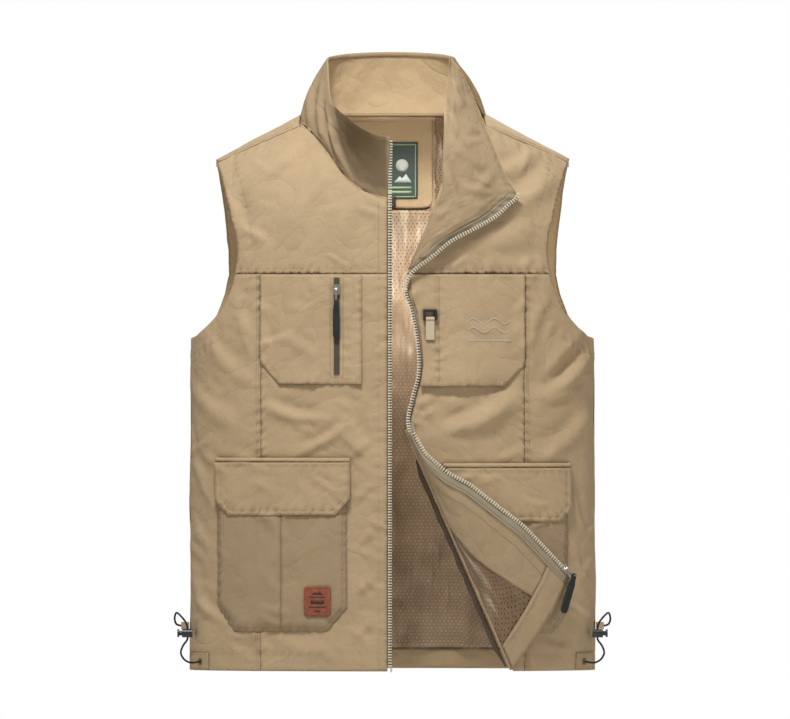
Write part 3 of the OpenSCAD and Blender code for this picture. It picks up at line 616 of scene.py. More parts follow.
def woven(name, colour, thread_mm=0.55, roughness=0.82, sheen=0.03, contrast=0.10, specular=0.2, bump=0.35,
          crumple=((19, 0.0029), (48, 0.0013)), darkest=0.42):
    """Plain-weave cloth: crossing threads, slubs and faint blotches, with painted shade down to darkest in
    valleys and under edges.
    """
    mat, bsdf = new_material(name, roughness, specular, sheen)
    n = Nodes(mat)
    uv = n.add("ShaderNodeTexCoord").outputs["UV"]
    split = n.add("ShaderNodeSeparateXYZ")
    n.join(uv, split.inputs[0])
    turns = 2 * math.pi * 1000 / thread_mm / 2
    warp = n.math("SINE", n.times(split.outputs["X"], turns))
    weft = n.math("SINE", n.times(split.outputs["Y"], turns))
    weave = n.times(warp, weft)
    blotch = n.noise(uv, 22, 3)
    slub = n.noise(uv, 900, 2)
    mottle = n.noise(uv, 240, 2, 0.6)
    tone = n.plus(n.times(blotch, 0.5), n.times(mottle, 0.3))
    tone = n.plus(tone, n.times(slub, 0.2))
    tone = n.plus(tone, n.times(weave, 0.03))
    cloth = n.ramp(tone, [(0.25, shade(colour, 1 - contrast)), (0.5, colour),
                          (0.75, shade(colour, 1 + contrast))])
    n.join(n.painted_shade(cloth, 0.007, darkest), bsdf.inputs["Base Color"])
    rough_map = n.plus(n.times(mottle, 0.14), roughness - 0.07)
    n.join(rough_map, bsdf.inputs["Roughness"])
    fine = n.plus(n.times(weave, 0.5), slub)
    normal = n.bump(mottle, 0.3, 0.0006)
    for scale, depth in crumple:
        reach = 0.8 / scale
        warp_by = n.add("ShaderNodeVectorMath", {1: (reach, reach, reach)}, operation="MULTIPLY_ADD")
        swirl = n.add("ShaderNodeTexNoise", {"Scale": scale * 0.6})
        n.join(uv, swirl.inputs["Vector"])
        n.join(swirl.outputs["Color"], warp_by.inputs[0])
        n.join(uv, warp_by.inputs[2])
        hill = n.noise(warp_by.outputs[0], scale, 1.5, 0.4)
        ridge_up = n.math("ABSOLUTE", n.math("SUBTRACT", hill, 0.5))
        normal = n.bump(n.math("POWER", n.plus(ridge_up, 0.0001), 0.6), 1.0, depth, normal)
    n.join(n.bump(fine, bump, 0.00012, normal), bsdf.inputs["Normal"])
    return mat


def perforated(name, colour, satin, pitch_mm=4.6, light_holes=False):
    """Shiny knitted mesh with rows of small holes, painted highlight streaks whose strength satin sets, and
    painted shade in hollows.
    """
    mat, bsdf = new_material(name, 0.40, 0.35, 0.05, 0.35)
    n = Nodes(mat)
    coords = n.add("ShaderNodeTexCoord")
    uv = coords.outputs["UV"]
    split = n.add("ShaderNodeSeparateXYZ")
    n.join(uv, split.inputs[0])
    row = n.times(split.outputs["Y"], 1000 / (pitch_mm * 0.8))
    odd = n.times(n.math("MODULO", n.math("FLOOR", n.plus(row, 2000)), 2), 0.5)
    jitter = n.times(n.math("SUBTRACT", n.noise(uv, 160, 1), 0.5), 0.9)
    col = n.plus(n.plus(n.times(split.outputs["X"], 1000 / pitch_mm), odd), jitter)
    dx = n.times(n.math("SUBTRACT", n.math("FRACT", n.plus(col, 2000)), 0.5), 1.9)
    dy = n.math("SUBTRACT", n.math("FRACT", n.plus(row, 2000)), 0.5)
    far = n.math("SQRT", n.plus(n.times(dx, dx), n.times(dy, dy)))
    dark = n.ramp(far, [(0.16, shade(colour, 0.10)), (0.26, shade(colour, 0.8)), (0.36, shade(colour, 1.12)),
                        (0.6, colour)])
    knit_tone = dark
    # painted highlight streaks run slantwise and fade down the lining
    lean = n.add("ShaderNodeMapping", {"Rotation": (0, 0, math.radians(-28)), "Scale": (75, 12, 12)})
    n.join(uv, lean.inputs["Vector"])
    streak = n.noise(lean.outputs[0], 1.0, 2, 0.55)
    height = n.add("ShaderNodeSeparateXYZ")
    n.join(coords.outputs["Object"], height.inputs[0])
    upper = n.add("ShaderNodeMapRange", {"From Min": -0.36, "From Max": -0.16, "To Min": 0.10},
                  interpolation_type="SMOOTHSTEP")
    n.join(height.outputs["Z"], upper.inputs["Value"])
    strength = n.times(upper.outputs[0], satin)
    gleam = n.add("ShaderNodeMapRange", {"From Min": 0.46, "From Max": 0.68}, interpolation_type="SMOOTHSTEP")
    n.join(streak, gleam.inputs["Value"])
    solid = n.math("GREATER_THAN", far, 0.24)
    gleam_here = n.times(n.times(gleam.outputs[0], strength),
                        n.plus(n.times(solid, 0.8), 0.2))
    light = n.add("ShaderNodeMix", data_type="RGBA")
    light.clamp_factor = True
    n.join(gleam_here, light.inputs["Factor"])
    if light_holes:
        # low down, light shows through the holes
        pale = n.ramp(far, [(0.16, (0.74, 0.62, 0.46)), (0.28, shade(colour, 1.2)),
                            (0.36, shade(colour, 0.7)),
                            (0.6, colour)])
        by_height = n.add("ShaderNodeMix", data_type="RGBA")
        n.join(upper.outputs[0], by_height.inputs["Factor"])
        n.join(pale, by_height.inputs["A"])
        n.join(dark, by_height.inputs["B"])
        knit_tone = by_height.outputs["Result"]
    n.join(knit_tone, light.inputs["A"])
    # colour of the painted highlight streaks
    light.inputs["B"].default_value = (0.74, 0.61, 0.44, 1)
    patchy = n.ramp(n.noise(uv, 26, 3), [(0.3, (0.74, 0.74, 0.74)), (0.7, (1.12, 1.12, 1.12))])
    n.join(n.painted_shade(n.multiply(light.outputs["Result"], patchy), 0.008, 0.35), bsdf.inputs["Base Color"])
    knit = n.math("SINE", n.times(split.outputs["X"], 2 * math.pi * 1000 / 0.9))
    dip = n.plus(n.math("MINIMUM", far, 0.3), n.times(knit, 0.02))
    n.join(n.bump(dip, 0.7, 0.0012, n.bump(streak, 1.0, 0.006)), bsdf.inputs["Normal"])
    n.join(n.plus(n.times(n.noise(uv, 60, 2), 0.2), 0.24), bsdf.inputs["Roughness"])
    return mat


def grained(name, colour, roughness, scale, depth, specular=0.5, metallic=0.0, contrast=0.1):
    """Plastic, rubber, leather or metal with a fine grain and a worn tone."""
    mat, bsdf = new_material(name, roughness, specular, metallic=metallic)
    n = Nodes(mat)
    where = n.add("ShaderNodeTexCoord").outputs["Object"]
    coarse = n.noise(where, scale * 0.12, 3)
    fine = n.noise(where, scale, 3)
    n.join(n.ramp(coarse, [(0.3, shade(colour, 1 - contrast)), (0.7, shade(colour, 1 + contrast))]),
           bsdf.inputs["Base Color"])
    n.join(n.plus(n.times(fine, 0.25), roughness - 0.12), bsdf.inputs["Roughness"])
    n.join(n.bump(fine, 0.4, depth), bsdf.inputs["Normal"])
    return mat


def satin(name, colour, contrast=0.1):
    """Fine glossy label cloth."""
    return woven(name, colour, 0.35, 0.5, 0.1, contrast, 0.5, crumple=())


KHAKI = (0.505, 0.370, 0.221)
M = {
    "shell": woven("shell_cloth", KHAKI),
    "facing": woven("facing_cloth", shade(KHAKI, 0.98)),
    "inside": woven("inside_cloth", (0.52, 0.385, 0.225)),
    # collar cloth: the khaki darkened as painted shade
    "collar": woven("collar_cloth_painted_shade", shade(KHAKI, 0.78)),
    # lapel facing, pouch and corner cloths: the khaki darkened as painted shade
    "lapel": woven("lapel_cloth_painted_shade", shade(KHAKI, 0.80)),
    "pouch": woven("pouch_cloth_painted_shade", shade(KHAKI, 0.79)),
    "corner": woven("corner_cloth_painted_shade", shade(KHAKI, 0.86)),
    # mesh linings: the third figure is how strong their painted highlight streaks are
    "mesh": perforated("mesh_lining", (0.40, 0.28, 0.172), 0.6, 5.2, True),
    "mesh_corner": perforated("corner_mesh", (0.25, 0.155, 0.085), 5.0),
    "mesh_edge": perforated("mesh_lining_edge", (0.30, 0.20, 0.12), 1.0),
    # a near-black copy of the mesh, as painted shade on the lining edge beside the fold
    "mesh_painted_shade": perforated("mesh_under_edge_painted_shade", (0.11, 0.07, 0.042), 0.0),
    "coil": woven("coil_tape", (0.085, 0.065, 0.045), 0.8, 0.6, 0.05, 0.08, 0.4, crumple=()),
    "tape": woven("zip_tape_cloth", (0.36, 0.30, 0.205), 0.8, 0.8, 0.05, 0.08, crumple=()),
    "teeth": grained("zip_teeth", (0.74, 0.68, 0.54), 0.36, 900, 0.0001, 0.6, contrast=0.05),
    "metal": grained("slider_metal", (0.62, 0.58, 0.50), 0.34, 700, 0.00008, 0.5, 1.0, 0.12),
    "rubber": grained("pull_rubber", (0.018, 0.021, 0.022), 0.5, 1200, 0.00015, 0.4, contrast=0.25),
    "plastic": grained("black_plastic", (0.022, 0.026, 0.028), 0.34, 1500, 0.00008, 0.55, contrast=0.2),
    "cord": woven("cord_braid", (0.02, 0.021, 0.024), 1.1, 0.75, 0.1, 0.25, crumple=()),
    "webbing": woven("webbing", (0.60, 0.50, 0.35), 1.3, 0.8, 0.1, 0.12, crumple=()),
    "leather": grained("patch_leather", (0.30, 0.085, 0.040), 0.5, 1400, 0.0003, 0.45, contrast=0.2),
    "leather_dark": grained("patch_emboss", (0.075, 0.03, 0.018), 0.6, 1400, 0.0002, 0.4, contrast=0.2),
    # thread darker than the cloth, as painted shade of the stitched valleys
    "thread": woven("sewing_thread_painted_shade", (0.36, 0.26, 0.15), 0.3, 0.6, 0.1, 0.08, 0.5, crumple=()),
    "embroidery": woven("embroidery_thread", (0.88, 0.79, 0.62), 0.4, 0.45, 0.15, 0.1, 0.6, crumple=(),
                        darkest=0.9),
    "label": satin("label_satin", (0.045, 0.075, 0.066), 0.12),
    "label_line": satin("label_line", (0.36, 0.50, 0.24)),
    "label_white": satin("label_mark", (0.66, 0.70, 0.66)),
    "tag": satin("size_tag_satin", (0.02, 0.02, 0.022), 0.15),
}
# body, slot and material of the pieces that most of the vest is made of
SHELL = ("vest", "shell_fabric", M["shell"])
INSIDE = ("vest", "shell_fabric", M["inside"])
MESH = ("vest", "mesh_lining", M["mesh"])
TAPE = ("vest", "zip_tape", M["tape"])
MESH_T, FACING_T = 0.7, 0.8
SHELL_STEP, INSIDE_STEP, POCKET_STEP = 3.6, 4.5, 3.0

# ---------------------------------------------------------------- camera and light
VIEW_W = 0.9757
VIEW_FAR = 20.0
VIEW_X, VIEW_Z = 0.0031, 0.3847 - NECK_Z / 1000
SENSOR = 36.0
cam_data = bpy.data.cameras.new("camera")
cam_data.sensor_width = SENSOR
cam_data.lens = SENSOR * VIEW_FAR / VIEW_W
cam_data.clip_end = 100
cam = bpy.data.objects.new("camera", cam_data)
cam.location = (VIEW_X, -VIEW_FAR - 0.08, VIEW_Z)
cam.rotation_euler = (math.pi / 2, 0, 0)
bpy.context.scene.collection.objects.link(cam)
bpy.context.scene.camera = cam

# ---------------------------------------------------------------- cords, from the route in the CAD
CORD_KNOTS = [
    (238, -41, 11), (244, -48, 10), (251, -50, 10), (258, -47, 14), (262, -42, 22), (259, -36, 31),
    (254, -34, 38), (254, -34, 46), (254, -34, 54), (257, -32, 61), (263, -27, 68), (267, -20, 71),
    (269, -14, 69), (270, -10, 63), (268, -8, 57), (263, -8, 55), (257, -8, 55)]
CORD_D = 2.5


def drawcord(side, name):
    path = smooth_path(CORD_KNOTS, 3)
    if side == RIGHT:
        path = mirrored(path)
    pts = to_frame(path)
    curve = bpy.data.curves.new(name, "CURVE")
    curve.dimensions = "3D"
    curve.bevel_depth = CORD_D / 2000
    curve.bevel_resolution = 3
    curve.use_fill_caps = True
    spline = curve.splines.new("POLY")
    spline.points.add(len(pts) - 1)
    for point, at in zip(spline.points, pts):
        point.co = (*at, 1)
    curve.materials.append(M["cord"])
    obj = bpy.data.objects.new(name + "_line", curve)
    bpy.context.scene.collection.objects.link(obj)
    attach(obj, "vest")
    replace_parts(obj, name)


drawcord(RIGHT, "right_drawcord")
drawcord(LEFT, "left_drawcord")


def area_light(name, at, target, size, power, colour=(1, 1, 1), seen=True):
    data = bpy.data.lights.new(name, "AREA")
    data.shape = "DISK"
    data.size = size
    data.energy = power
    data.color = colour
    obj = bpy.data.objects.new(name, data)
    obj.location = at
    obj.rotation_euler = (Vector(target) - Vector(at)).to_track_quat("-Z", "Y").to_euler()
    obj.visible_camera = seen
    bpy.context.scene.collection.objects.link(obj)


CENTRE = (0, 0, VIEW_Z)
KEY_AT = (-0.22, -1.08, 1.28)
area_light("key", KEY_AT, (0.02, 0, VIEW_Z + 0.05), 0.34, 29.5, (0.98, 0.99, 1.0))
area_light("fill", (1.5, -2.4, 0.3), CENTRE, 1.4, 6, (1.0, 0.97, 0.92))
area_light("rim_back", (0.6, 2.2, 1.2), CENTRE, 1.4, 36)
area_light("inner", (0.03, -0.07, -0.20), (0.03, 0.2, -0.30), 0.10, 0.32, (1.0, 0.97, 0.92), seen=False)
area_light("nape", (0.025, -0.085, 0.0), (0.02, 0.2, -0.12), 0.06, 0.07, (1.0, 0.97, 0.93), seen=False)


def staged_face(name, points, material=None, seen=True):
    """One flat face that belongs to the set and not to the vest."""
    mesh = bpy.data.meshes.new(name)
    mesh.from_pydata(points, [], [tuple(range(len(points)))])
    if material:
        mesh.materials.append(material)
    obj = bpy.data.objects.new(name, mesh)
    obj.visible_camera = seen
    bpy.context.scene.collection.objects.link(obj)


# A small flag that the camera doesn't see keeps the key off the collar's front
FLAG_GAP = 0.042
shaded = to_frame(np.array([
    (-75, -92, 704), (-60, -110, 688), (-40, -118, 672), (-22, -117, 664), (-5, -112, 660), (-5, -110, 592),
    (-22, -108, 592), (-42, -103, 603), (-55, -99, 620), (-64, -95, 645), (-70, -92, 675)], float))
staged_face("collar_flag", [tuple(p + FLAG_GAP * unit(np.array(KEY_AT) - p)) for p in shaded], seen=False)
world = bpy.data.worlds.new("studio")
bpy.context.scene.world = world
world.use_nodes = True
wn = world.node_tree
sky = wn.nodes["Background"]
sky.inputs["Color"].default_value = (1.0, 0.95, 0.88, 1)
sky.inputs["Strength"].default_value = 0.28
paper = wn.nodes.new("ShaderNodeBackground")
paper.inputs["Color"].default_value = (1, 1, 1, 1)
paper.inputs["Strength"].default_value = 1.0
ray = wn.nodes.new("ShaderNodeLightPath")
blend_bg = wn.nodes.new("ShaderNodeMixShader")
wn.links.new(ray.outputs["Is Camera Ray"], blend_bg.inputs[0])
wn.links.new(sky.outputs[0], blend_bg.inputs[1])
wn.links.new(paper.outputs[0], blend_bg.inputs[2])
wn.links.new(blend_bg.outputs[0], wn.nodes["World Output"].inputs[0])
bpy.context.scene.view_settings.view_transform = "Standard"

FLOOR_DROP = 0.16
floor_z = CAD_BOX[0][2] - FLOOR_DROP
floor_mat, floor_bsdf = new_material("floor", 0.85, 0.2)
floor_bsdf.inputs["Base Color"].default_value = (0.82, 0.82, 0.82, 1)
staged_face("floor", [(-2.6, -2.6, floor_z), (2.6, -2.6, floor_z), (2.6, 2.0, floor_z), (-2.6, 2.0, floor_z)],
            floor_mat)

# ---------------------------------------------------------------- shell panels
HEM_Z = 20.5
ARMHOLE_LOW = [(250, 411), (241, 414), (230, 424), (212, 443), (201, 466), (194, YOKE_Z)]
ARMHOLE_LOW_STITCH = [(250, 391), (236, 394), (217, 405), (197, 426), (183, 455), (175, YOKE_Z)]
ARMHOLE_UP = [(194, YOKE_Z), (191.5, 515), (193, 540), (197, 556), (203, 584), (210, 608), (216.5, 628)]
ARMHOLE_UP_STITCH = [(175, YOKE_Z), (172, 515), (174, 542), (179, 566), (186, 596), (194, 622), (198, 635)]
BACK_ARM_LOW = [(250, 411), (242, 413), (232, 421), (218, 440), (208, 466), (203, YOKE_Z)]
BACK_ARM_UP = [(203, YOKE_Z), (204, 520), (207, 552), (211, 590), (215, 615), (218.5, 632)]
BACK_ARM_STITCH = [(250, 391), (236, 394), (218, 405), (200, 430), (190, 460), (185, YOKE_Z),
                   (185, 520), (188, 560), (193, 600), (199, 640)]
thread = Thread()
dark_seam, light_seam = 0.6, 0.46


def sided(points, side):
    return [(side * x, z) for x, z in points]


def raised_edge(patch_outline, width=2.2, height=0.5):
    """A turned edge is a little thicker than the cloth."""
    border = looped(patch_outline)

    def shape(sq):
        return height * np.exp(-((near(border, sq)[0] / width) ** 2))
    return shape


def side_panel(side, name):
    outline = sided([(PRINCESS_X, 0), (PRINCESS_X, YOKE_Z)] + ARMHOLE_LOW[::-1] + [(250, 0)], side)
    princess = sided([(PRINCESS_X + 1, 0), (PRINCESS_X + 1, YOKE_Z)], side)
    piece = Patch(outline, CLOTH, FRONT, [
        (princess, dark_seam, 0.55), (sided(ARMHOLE_LOW_STITCH, side), light_seam, 0.6),
        (sided([(PRINCESS_X, HEM_Z), (250, HEM_Z)], side), light_seam, 0.35)])
    obj = piece.build(name + "_cloth", *SHELL, SHELL_STEP)
    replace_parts(obj, name)
    thread.on(piece, sided(ARMHOLE_LOW_STITCH, side))
    thread.on(piece, sided([(PRINCESS_X, HEM_Z), (250, HEM_Z)], side))
    thread.on(piece, sided([(PRINCESS_X + 2.5, 2), (PRINCESS_X + 2.5, YOKE_Z - 2)], side))
    thread.on(piece, sided([(PRINCESS_X + 5, 2), (PRINCESS_X + 5, YOKE_Z - 2)], side))


side_panel(RIGHT, "right_side_panel")
side_panel(LEFT, "left_side_panel")

right_panel = Patch([(-6.2, 0), (-6.2, YOKE_Z), (-PRINCESS_X, YOKE_Z), (-PRINCESS_X, 0)], CLOTH, FRONT, [
    ([(-PRINCESS_X + 0.5, 0), (-PRINCESS_X + 0.5, YOKE_Z)], dark_seam, 0.55),
    ([(-8.5, 0), (-8.5, YOKE_Z)], light_seam, 0.25), ([(-17, 0), (-17, YOKE_Z)], light_seam, 0.3),
    ([(-PRINCESS_X, HEM_Z), (-17, HEM_Z)], light_seam, 0.35)])
obj = right_panel.build("right_front_panel_cloth", *SHELL, SHELL_STEP)
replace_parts(obj, "right_front_panel")
for x in (-8.5, -17):
    thread.on(right_panel, [(x, 1), (x, YOKE_Z - 1)])
thread.on(right_panel, [(-PRINCESS_X, HEM_Z), (-17, HEM_Z)])

FOLD_TOP, FOLD_LOW = (17.0, 298.0), (146.0, 2.0)
LEFT_EDGE = [(18, YOKE_Z), (18, 474), (22, 458), (28, 440), (34, 409), (36, 370), (30, 341), (23, 312),
             (20, 296)]
left_panel = Patch([(PRINCESS_X, 0), (PRINCESS_X, YOKE_Z)] + [tuple(p) for p in smooth_path(LEFT_EDGE,
                                                                                            3)] + [(149, 0)],
                   CLOTH, FRONT, [
    ([(PRINCESS_X - 0.5, 0), (PRINCESS_X - 0.5, YOKE_Z)], dark_seam, 0.55),
    ([(x + 8, z) for x, z in LEFT_EDGE], light_seam, 0.3)])
obj = left_panel.build("left_front_panel_cloth", *SHELL, SHELL_STEP)
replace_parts(obj, "left_front_panel")
thread.on(left_panel, smooth_path([(x + 8, z) for x, z in LEFT_EDGE[1:]], 3))

back_outline = ([(-250, 0), (-250, 411)] + sided(BACK_ARM_LOW[1:],
                                                 RIGHT) + BACK_ARM_LOW[:0:-1] + [(250, 411), (250, 0)])
back_panel = Patch(back_outline, CLOTH, BACK, [
    ([(-205, YOKE_Z - 1), (205, YOKE_Z - 1)], dark_seam, 0.5),
    ([(-250, HEM_Z), (250, HEM_Z)], light_seam, 0.35)])
obj = back_panel.build("back_panel_cloth", *SHELL, 4.6)
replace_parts(obj, "back_panel")
thread.on(back_panel, [(-249, HEM_Z), (249, HEM_Z)], BACK)

# Front yokes
NECK_LINE = [(6.2, 582), (19, 585), (41, 594), (55, 605), (66, 619), (76, 638), (88, 653), (104, 668),
             (115, 672)]


def front_yoke(side, name, inner):
    up = [tuple(p) for p in smooth_path(ARMHOLE_UP, 3)]
    outline = sided(inner + up[::-1], side)
    stitch = sided([(14, YOKE_Z + 7), (192, YOKE_Z + 7)], side)
    shoulder = sided([(116, 667), (212, 625.5)], side)
    piece = Patch(outline, CLOTH, FRONT, [
        (sided([(10, YOKE_Z + 1), (194, YOKE_Z + 1)], side), dark_seam, 0.5), (stitch, light_seam, 0.3),
        (sided(ARMHOLE_UP_STITCH, side), light_seam, 0.6), (shoulder, light_seam, 0.3)])
    obj = piece.build(name + "_cloth", *SHELL, SHELL_STEP)
    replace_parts(obj, name)
    thread.on(piece, stitch)
    thread.on(piece, sided(ARMHOLE_UP_STITCH[:-1], side))
    return piece


right_yoke = front_yoke(RIGHT, "right_front_yoke", [(6.2, YOKE_Z)] + NECK_LINE)
front_yoke(LEFT, "left_front_yoke", [(18, YOKE_Z), (30, 512), (46, 560), (60, 600)] + NECK_LINE[4:])
thread.on(right_yoke, [(-17, YOKE_Z + 2), (-17, 580)])

# Back yoke, over both shoulders: outline in flat coordinates
half_yoke = np.vstack([
    lay([(0, NECK_Z + 1), (88, NECK_Z + 1), (104, NECK_Z + 1), (112, ridge(112) - 0.5)], BACK),
    lay([(115, 672.4), (140, 661.8), (165, 651), (190, 640), (217, 628.6)], FRONT),
    lay([(219, ridge(219) - 0.5)] + BACK_ARM_UP[-2::-1], BACK), lay([(203, YOKE_Z), (1, YOKE_Z)], BACK, 8)])
yoke_outline = np.vstack([half_yoke, mirrored(half_yoke[::-1])[:-1]])
back_yoke = Patch(yoke_outline, CLOTH, None, [
    (lay([(-205, YOKE_Z + 1), (205, YOKE_Z + 1)], BACK), dark_seam, 0.5),
    (lay([(-204, YOKE_Z + 8), (204, YOKE_Z + 8)], BACK), light_seam, 0.3)])
obj = back_yoke.build("back_yoke_cloth", *SHELL, 4.2)
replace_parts(obj, "back_yoke")
thread.on(back_yoke, [(-204, YOKE_Z + 8), (204, YOKE_Z + 8)], BACK)
for side in (RIGHT, LEFT):
    thread.on(back_yoke, sided([(122, 672), (213, 632.5)], side))
    thread.on(back_panel, sided(BACK_ARM_STITCH[:6], side), BACK)
    thread.on(back_yoke, sided(BACK_ARM_STITCH[5:], side), BACK)

# ---------------------------------------------------------------- inside layers
lining = Patch([(-236, 26), (-236, 400), (-214, 424), (-186, 455), (-180, 571), (180, 571), (186, 455),
                (214, 424), (236, 400), (236, 26)], -3.0, BACK, shape=lambda sq: (
    3.0 * noise((sq[:, 0] + 0.35 * sq[:, 1]) / 17, sq[:, 1] / 52, 21)
    + 1.5 * noise(sq[:, 0] / 9, sq[:, 1] / 15, 22) - 3.2))
obj = lining.build("back_lining_cloth", *MESH, 4.6, MESH_T)
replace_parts(obj, "back_lining")


def front_lining(side, name, inner):
    outline = sided(inner + [(232, 2), (232, 398), (208, 424), (192, 452), (188, 480)], side)
    piece = Patch(outline, -2.6, FRONT, shape=lambda sq: 0.8 * noise(sq[:, 0] / 14, sq[:, 1] / 30, 24) - 0.6)
    obj = piece.build(name + "_cloth", *MESH, 6.0, MESH_T)
    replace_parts(obj, name)


front_lining(RIGHT, "right_front_lining", [(40, 480), (40, 2)])
front_lining(LEFT, "left_front_lining", [(60, 480), (60, 210), (152, 2)])

facing_outline = [(-50, NECK_Z), (-50, 584), (-47, 576), (-40, 572), (40, 572), (47, 576), (50, 584),
                  (50, NECK_Z)]
neck_facing = Patch(facing_outline, -0.8, BACK, [(inset(facing_outline, 3)[1:-1], 0.3, 0.3)], wrinkle=0.5)
obj = neck_facing.build("back_neck_facing_cloth", *INSIDE, 4.0, FACING_T)
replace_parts(obj, "back_neck_facing")
edge_rows = []
for z in np.linspace(552, 688, 90):
    wander = (2.4 * float(noise(np.array(z / 13.0), np.array(0.3), 61))
              + 1.2 * float(noise(np.array(z / 4.5), np.array(0.8), 62)))
    left_x, right_x = 53.5 + wander, 66.5 + 0.6 * wander
    across = np.linspace(left_x, right_x, 9)
    rise = 2.6 * np.sin(np.linspace(0, math.pi, 9)) + 1.1 * np.sin(np.linspace(0, 3 * math.pi, 9) + z / 9)
    edge_rows.append(body(flat(np.c_[across, np.full(9, z)], BACK), -2.2 - rise)[0])
grid_mesh("lining_edge_cloth", edge_rows, "vest", "mesh_lining", M["mesh_edge"], 0.5)
seam_x = np.linspace(-70, 70, 60)
seam_rows = []
for lift, z in ((-1.5, 681), (-1.9, 683.5), (-2.1, 686), (-2.1, 688.5), (-1.6, 691)):
    base_line = body(flat(np.c_[seam_x, np.full(60, min(z, 686))], BACK), lift)[0]
    base_line[:, 2] += max(0, z - 686)
    seam_rows.append(base_line)
grid_mesh("neck_seam_tape", seam_rows, *INSIDE, 0.5)
hem_inside = Patch([(-236, 0.5), (-236, 26.5), (236, 26.5), (236, 0.5)], -0.5, BACK, wrinkle=0.6)
obj = hem_inside.build("hem_band_cloth", *INSIDE, INSIDE_STEP, FACING_T)
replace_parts(obj, "hem_band")

for side, name in ((RIGHT, "right"), (LEFT, "left")):
    front_edge = ARMHOLE_LOW + ARMHOLE_UP[1:]
    front_inner = [(250, 390), (235, 393), (216, 404), (196, 425), (182, 454), (174, YOKE_Z)] + [
        (171, 515), (173, 541), (178, 565), (185, 595), (193, 621), (197, 635)]
    band = Patch(sided(front_edge + front_inner[::-1], side), -0.5, FRONT)
    obj = band.build(name + "_armhole_front_facing", *INSIDE, INSIDE_STEP, FACING_T)
    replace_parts(obj, name + "_armhole_facing")
    back_edge = BACK_ARM_LOW + BACK_ARM_UP[1:]
    band = Patch(sided(back_edge + BACK_ARM_STITCH[::-1], side), -0.5, BACK)
    band.build(name + "_armhole_back_facing", *INSIDE, INSIDE_STEP, FACING_T)

# ---------------------------------------------------------------- collar
COLLAR_BASE = [
    (-6, -109, 583), (-19, -107.5, 586), (-41, -103.5, 595), (-55, -99.5, 606), (-66, -94, 620),
    (-76, -88.5, 639), (-88, -78, 654), (-104, -52, 669.5), (-114, -24, 680), (-115, 4, 686.5),
    (-104, 30, 687.5), (-80, 44, 687.5), (-40, 52, 687.5), (0, 54, 687.5), (40, 52, 687.5),
    (80, 44, 687.5), (104, 30, 687.5), (114, 4, 687), (114, -14, 686)]
COLLAR_TOP = [
    (-2.5, -112, 658), (-22, -117, 661), (-40, -118, 669), (-54, -114, 680), (-66, -107, 690),
    (-73, -97, 697), (-77, -81, 706), (-79.5, -58, 724), (-81, -27, 746), (-81, 0, 757),
    (-76, 20, 760), (-58, 34, 763), (-30, 43, 765), (0, 46, 765.5), (30, 43, 765), (58, 34, 763),
    (74, 20, 760), (78, 4, 758), (77, -8, 757)]
ROWS = 26


def collar_frames(per=7):
    base, top = smooth_path(COLLAR_BASE, per), smooth_path(COLLAR_TOP, per)
    mid = (base + top) / 2
    out = unit(np.c_[mid[:, :2], np.zeros(len(mid))])
    return base, top, out


def collar_sheet(inner):
    base, top, out = collar_frames()
    way = way_along(base)
    grid = []
    for j in range(ROWS + 1):
        s = j / ROWS
        bulge = 3.2 * math.sin(math.pi * s)
        ripple = 3.0 * noise(way / 34, s * 1.6 + 0 * way, 31) + 1.5 * noise(way / 13, s * 5 + 0 * way, 32)
        # long slanting pleats in the front of the standing half
        front = smoothstep(way, 20, 60) * (1 - smoothstep(way, 190, 250))
        pleat = 4.2 * np.sin((way - 70 * s) * 2 * math.pi / 46) * front * math.sin(math.pi * min(1, s * 1.15))
        seam = (-0.7 * math.exp(-(((s - 0.62) * 77 / 2) ** 2))
                * smoothstep(way, 0, 40) * (1 - smoothstep(way, 150, 230)))
        height = bulge + (ripple + pleat) * math.sin(math.pi * (0.15 + 0.8 * s)) + seam
        if inner:
            height = height - 1.5
        row = base * (1 - s) + top * s + out * height[:, None]
        grid.append(row)
    if not inner:
        # roll the cloth over the top edge
        for angle in (50, 100, 150, 180):
            a = math.radians(angle)
            lift = np.array([0, 0, 0.9 * math.sin(a)])
            grid.append(grid[ROWS] + lift - out * 0.9 * (1 - math.cos(a)))
        grid.append(grid[-1] - np.array([0, 0, 4.0]) - out * 0.3)
    return np.array(grid), out


outer_grid, collar_out = collar_sheet(False)
obj = grid_mesh("collar_outer_cloth", outer_grid, "vest", "shell_fabric", M["collar"], 0.8, declare="folded")
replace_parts(obj, "collar_outer")
inner_grid = collar_sheet(True)[0]
obj = grid_mesh("collar_inner_cloth", inner_grid, *INSIDE, 0.8, declare="folded")
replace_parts(obj, "collar_inner")
for row in (ROWS - 2, ROWS - 9):
    stop = len(collar_out) if row == ROWS - 2 else 60
    thread.run(outer_grid[row][:stop] + collar_out[:stop] * 0.4, collar_out[:stop])
thread.run(inner_grid[1] - collar_out * 0.5, -collar_out)

# Seam allowance that closes the neck under the standing collar
neck_base = collar_frames()[0]
neck_base = neck_base[(neck_base[:, 1] < 3) & (neck_base[:, 0] < 0)]
away = unit(np.c_[neck_base[:, 0], neck_base[:, 2] - 700])
allowance = [neck_base + np.array([0, 0, 2.5]), neck_base - np.array([0, 0, 1.0])]
for reach, t in ((3, -1.1), (6, -1.3), (11, -1.3)):
    allowance.append(body(flat(neck_base[:, [0, 2]] + reach * away), t)[0])
grid_mesh("neck_seam_allowance", np.array(allowance), *INSIDE, 0.5)
# Standing part of the left half, behind the lapel that folds away from it
left_base = smooth_path([(113.5, -5, 686), (106, -45, 672), (92, -74, 656), (79, -87, 640), (69, -94, 622),
                         (63, -101, 604)], 8)
left_roll = smooth_path([(75.5, -3, 756), (69.5, -34, 728), (67, -58, 705), (65, -84, 674), (63.5, -98, 646),
                         (62.5, -104, 618)], 8)
share = np.linspace(0, 1, 12)[:, None, None]
grid_mesh("left_collar_stand", left_base * (1 - share) + left_roll * share, *SHELL, 0.8)
